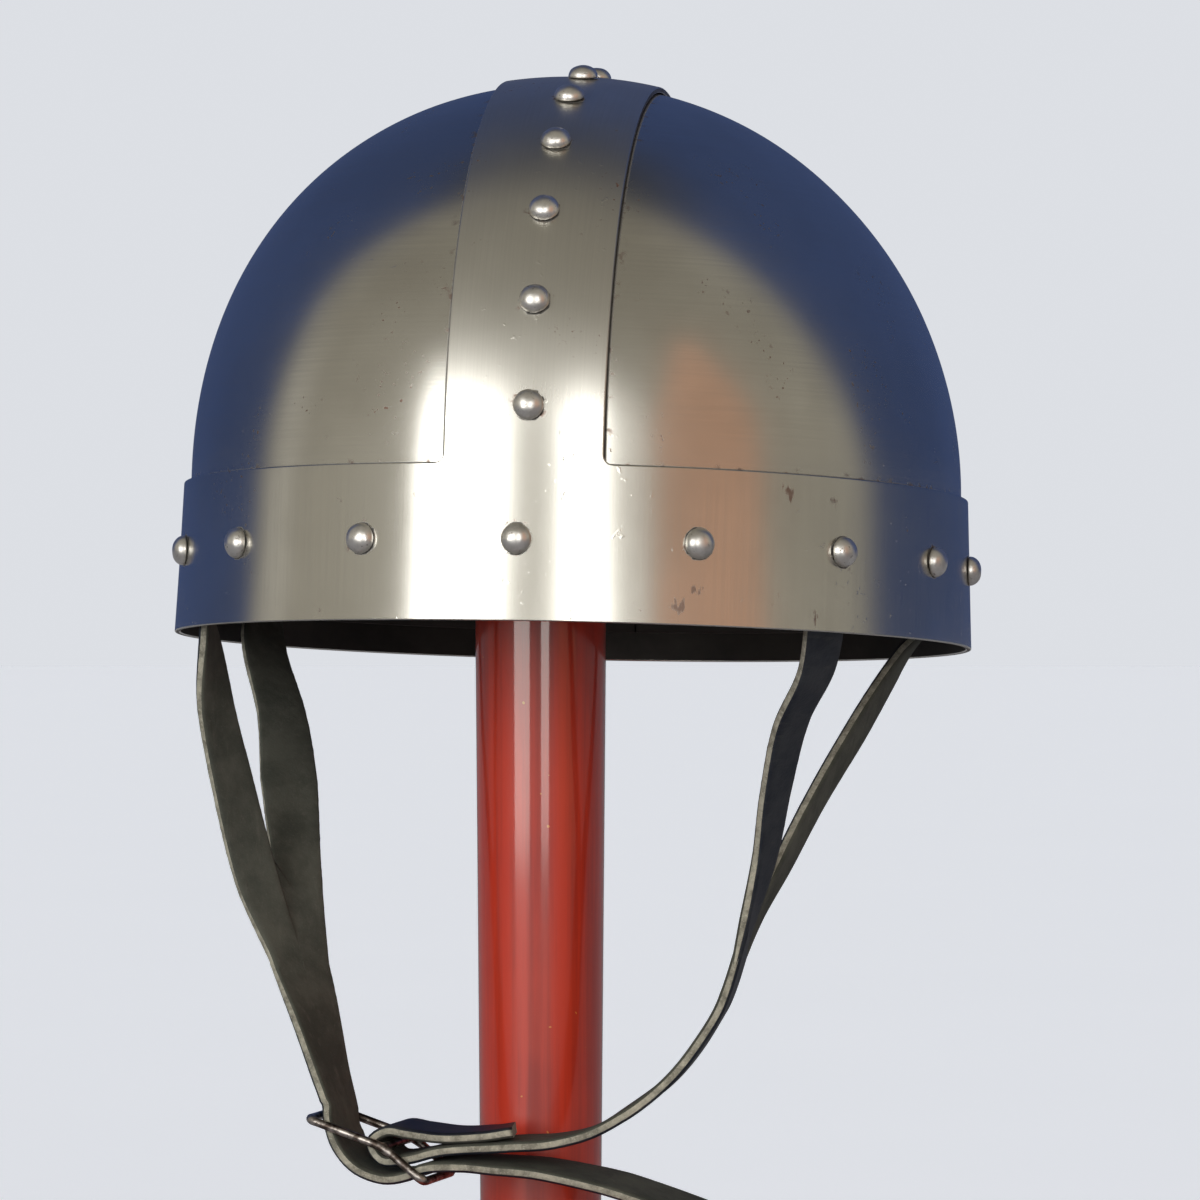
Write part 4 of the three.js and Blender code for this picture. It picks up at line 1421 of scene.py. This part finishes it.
# %% Room light
BACKGROUND = shade(0.72, 0.74, 0.78)
ROOM_LOW = shade(0.44, 0.415, 0.35)
ROOM_HIGH = shade(0.32, 0.30, 0.25)
ROOM_DIM = shade(0.22, 0.19, 0.15)
DARK_BEHIND = shade(0.046, 0.072, 0.17)
DARK_ABOVE = shade(0.052, 0.054, 0.06)
STREAKS = (7, 7, 0.6)
STREAK_DEPTH = 0.3
PANE_LIGHT = shade(5, 4.95, 4.8)
PANE_FOOT = -0.06
PANE_TOP = (0.22, 0.6)
PANE_FADE = 0.035
PANES = [(-26, 28, 1), (15, 14, 1), (-2, 22, 0.07), (27, 18, 0.1), (-93, 11, 0.032)]

world = bpy.data.worlds.new("studio")
bpy.context.scene.world = world
room = Finish("studio", world)
towards = room.node("ShaderNodeTexCoord", out="Generated")
left, back, height = (room.axis(towards, name) for name in "XYZ")


def pane(bearing, wide, strength):
    """A soft-edged upright pane, so many degrees wide and round from the front to the left."""
    a, half = math.radians(bearing), math.sin(math.radians(wide) / 2)
    across = left * math.cos(a) + back * math.sin(a)
    facing = left * math.sin(a) - back * math.cos(a)
    inside = 1 - abs(across).between(half - PANE_FADE, half + PANE_FADE)
    low = height.between(PANE_FOOT - PANE_FADE, PANE_FOOT + PANE_FADE)
    return inside * low * (1 - height.between(*PANE_TOP)) * (facing > 0) * strength


panes = pane(*PANES[0])
for measures in PANES[1:]:
    panes = panes.most(pane(*measures))
streaks = room.clouds(room.stretch(towards, STREAKS), 1, 3).between(0.4, 0.65)
front = room.blend(height.between(0, 0.8), ROOM_LOW, ROOM_HIGH)
front = room.blend(streaks * STREAK_DEPTH, front, ROOM_DIM)
front = room.blend(panes, front, PANE_LIGHT)
dark = room.blend(height.between(0.8, 1), DARK_BEHIND, DARK_ABOVE)
edge_of_dark = 0.03 + (1 - abs(height)) * (0.27 + left * 0.075)
behind = (back - edge_of_dark).between(-0.05, 0.1)
seen = room.node("ShaderNodeLightPath", out="Is Camera Ray")
colour = room.blend(seen, room.blend(behind, front, dark), BACKGROUND)
ground = room.node("ShaderNodeBackground", None, {"Color": colour, "Strength": 1})
room.node("ShaderNodeOutputWorld", None, {"Surface": ground})
print("room made of", len(room.tree.nodes), "nodes")

# %% [markdown]
# ## Three cards
#
# The floor hides the foot of the two bright panes, so an upright post would not show them. Two
# cards out of the camera's sight carry them on down to the floor, and a third is a warm board
# at the side. They are panels and not lights, because a light adds to what is behind it and a
# board covers it. The two bright ones are seen in reflections only.

# %% Cards
CARD_DISTANCE = 3.6
CARD_FOOT = -4.7
CARD_TOP = 2
LOW_CARD = [(-1, CARD_FOOT), (1, CARD_FOOT), (1, CARD_TOP), (-1, CARD_TOP)]
WARM_BOARD = [(-1, CARD_FOOT), (1, CARD_FOOT), (1, 18), (0.25, 38), (-0.15, 38), (-1, 14)]
WARM_BEARING = 55
WARM_HALF_WIDTH = 17.5
HELMET_MIDDLE = Vector((0.0069, 0.015, 0.30))


def add_card(name, bearing, half_width, outline, finish):
    """A panel round the stage. The outline is pairs of -1 to 1 across and degrees of climb."""
    points = []
    for across, climb in outline:
        a = math.radians(bearing + across * half_width)
        out = Vector((math.sin(a), -math.cos(a), math.tan(math.radians(climb))))
        points.append(tuple(HELMET_MIDDLE + out * CARD_DISTANCE))
    card = add_panel(name, points, finish)
    card.visible_camera = False
    card.visible_shadow = False
    return card


def glowing(name, first, second):
    shop = Finish(name)
    cloud = shop.clouds(shop.node("ShaderNodeTexCoord", out="Object"), 2, 3)
    return shop.surface(
        Base_Color=NO_LIGHT, Roughness=1, Specular_IOR_Level=0, Emission_Strength=1,
        Emission_Color=shop.blend(cloud, first, second),
    )


bright = glowing("bright_card", shade(5.6, 5.5, 5.2), shade(5.4, 5.3, 5.0))
for name, (bearing, wide, _) in zip(("card_right", "card_left"), PANES):
    card = add_card(name, bearing, wide / 2, LOW_CARD, bright)
    card.visible_diffuse = False
warm = glowing("warm_board", shade(0.62, 0.37, 0.25), shade(0.54, 0.34, 0.24))
add_card("warm_board", WARM_BEARING, WARM_HALF_WIDTH, WARM_BOARD, warm)

# %% [markdown]
# ## The camera
#
# A long lens from almost two metres away keeps the helmet's proportions true. It looks level,
# from just above the rim. It stands a few degrees to the helmet's left, as many as the strap is
# turned, so it faces the strap squarely.

# %% Camera and colour
SENSOR_WIDTH = 36
LENS_LENGTH = 203.6
CAMERA_PLACE = (0.2393, -1.7699, 0.2612)

lens = bpy.data.cameras.new("long_lens")
lens.sensor_width = SENSOR_WIDTH
lens.lens = LENS_LENGTH
camera = bpy.data.objects.new("camera", lens)
camera.location = CAMERA_PLACE
camera.rotation_euler = (math.pi / 2, 0, STRAP_TURN)
bpy.context.scene.collection.objects.link(camera)
bpy.context.scene.camera = camera
bpy.context.scene.view_settings.view_transform = "Standard"
print("camera at", CAMERA_PLACE)

# %% Write the sizes and finish
made_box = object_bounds()
for a, b in zip(cad_box, made_box):
    print("measured", [round(v, 4) for v in a], "made", [round(v, 4) for v in b])
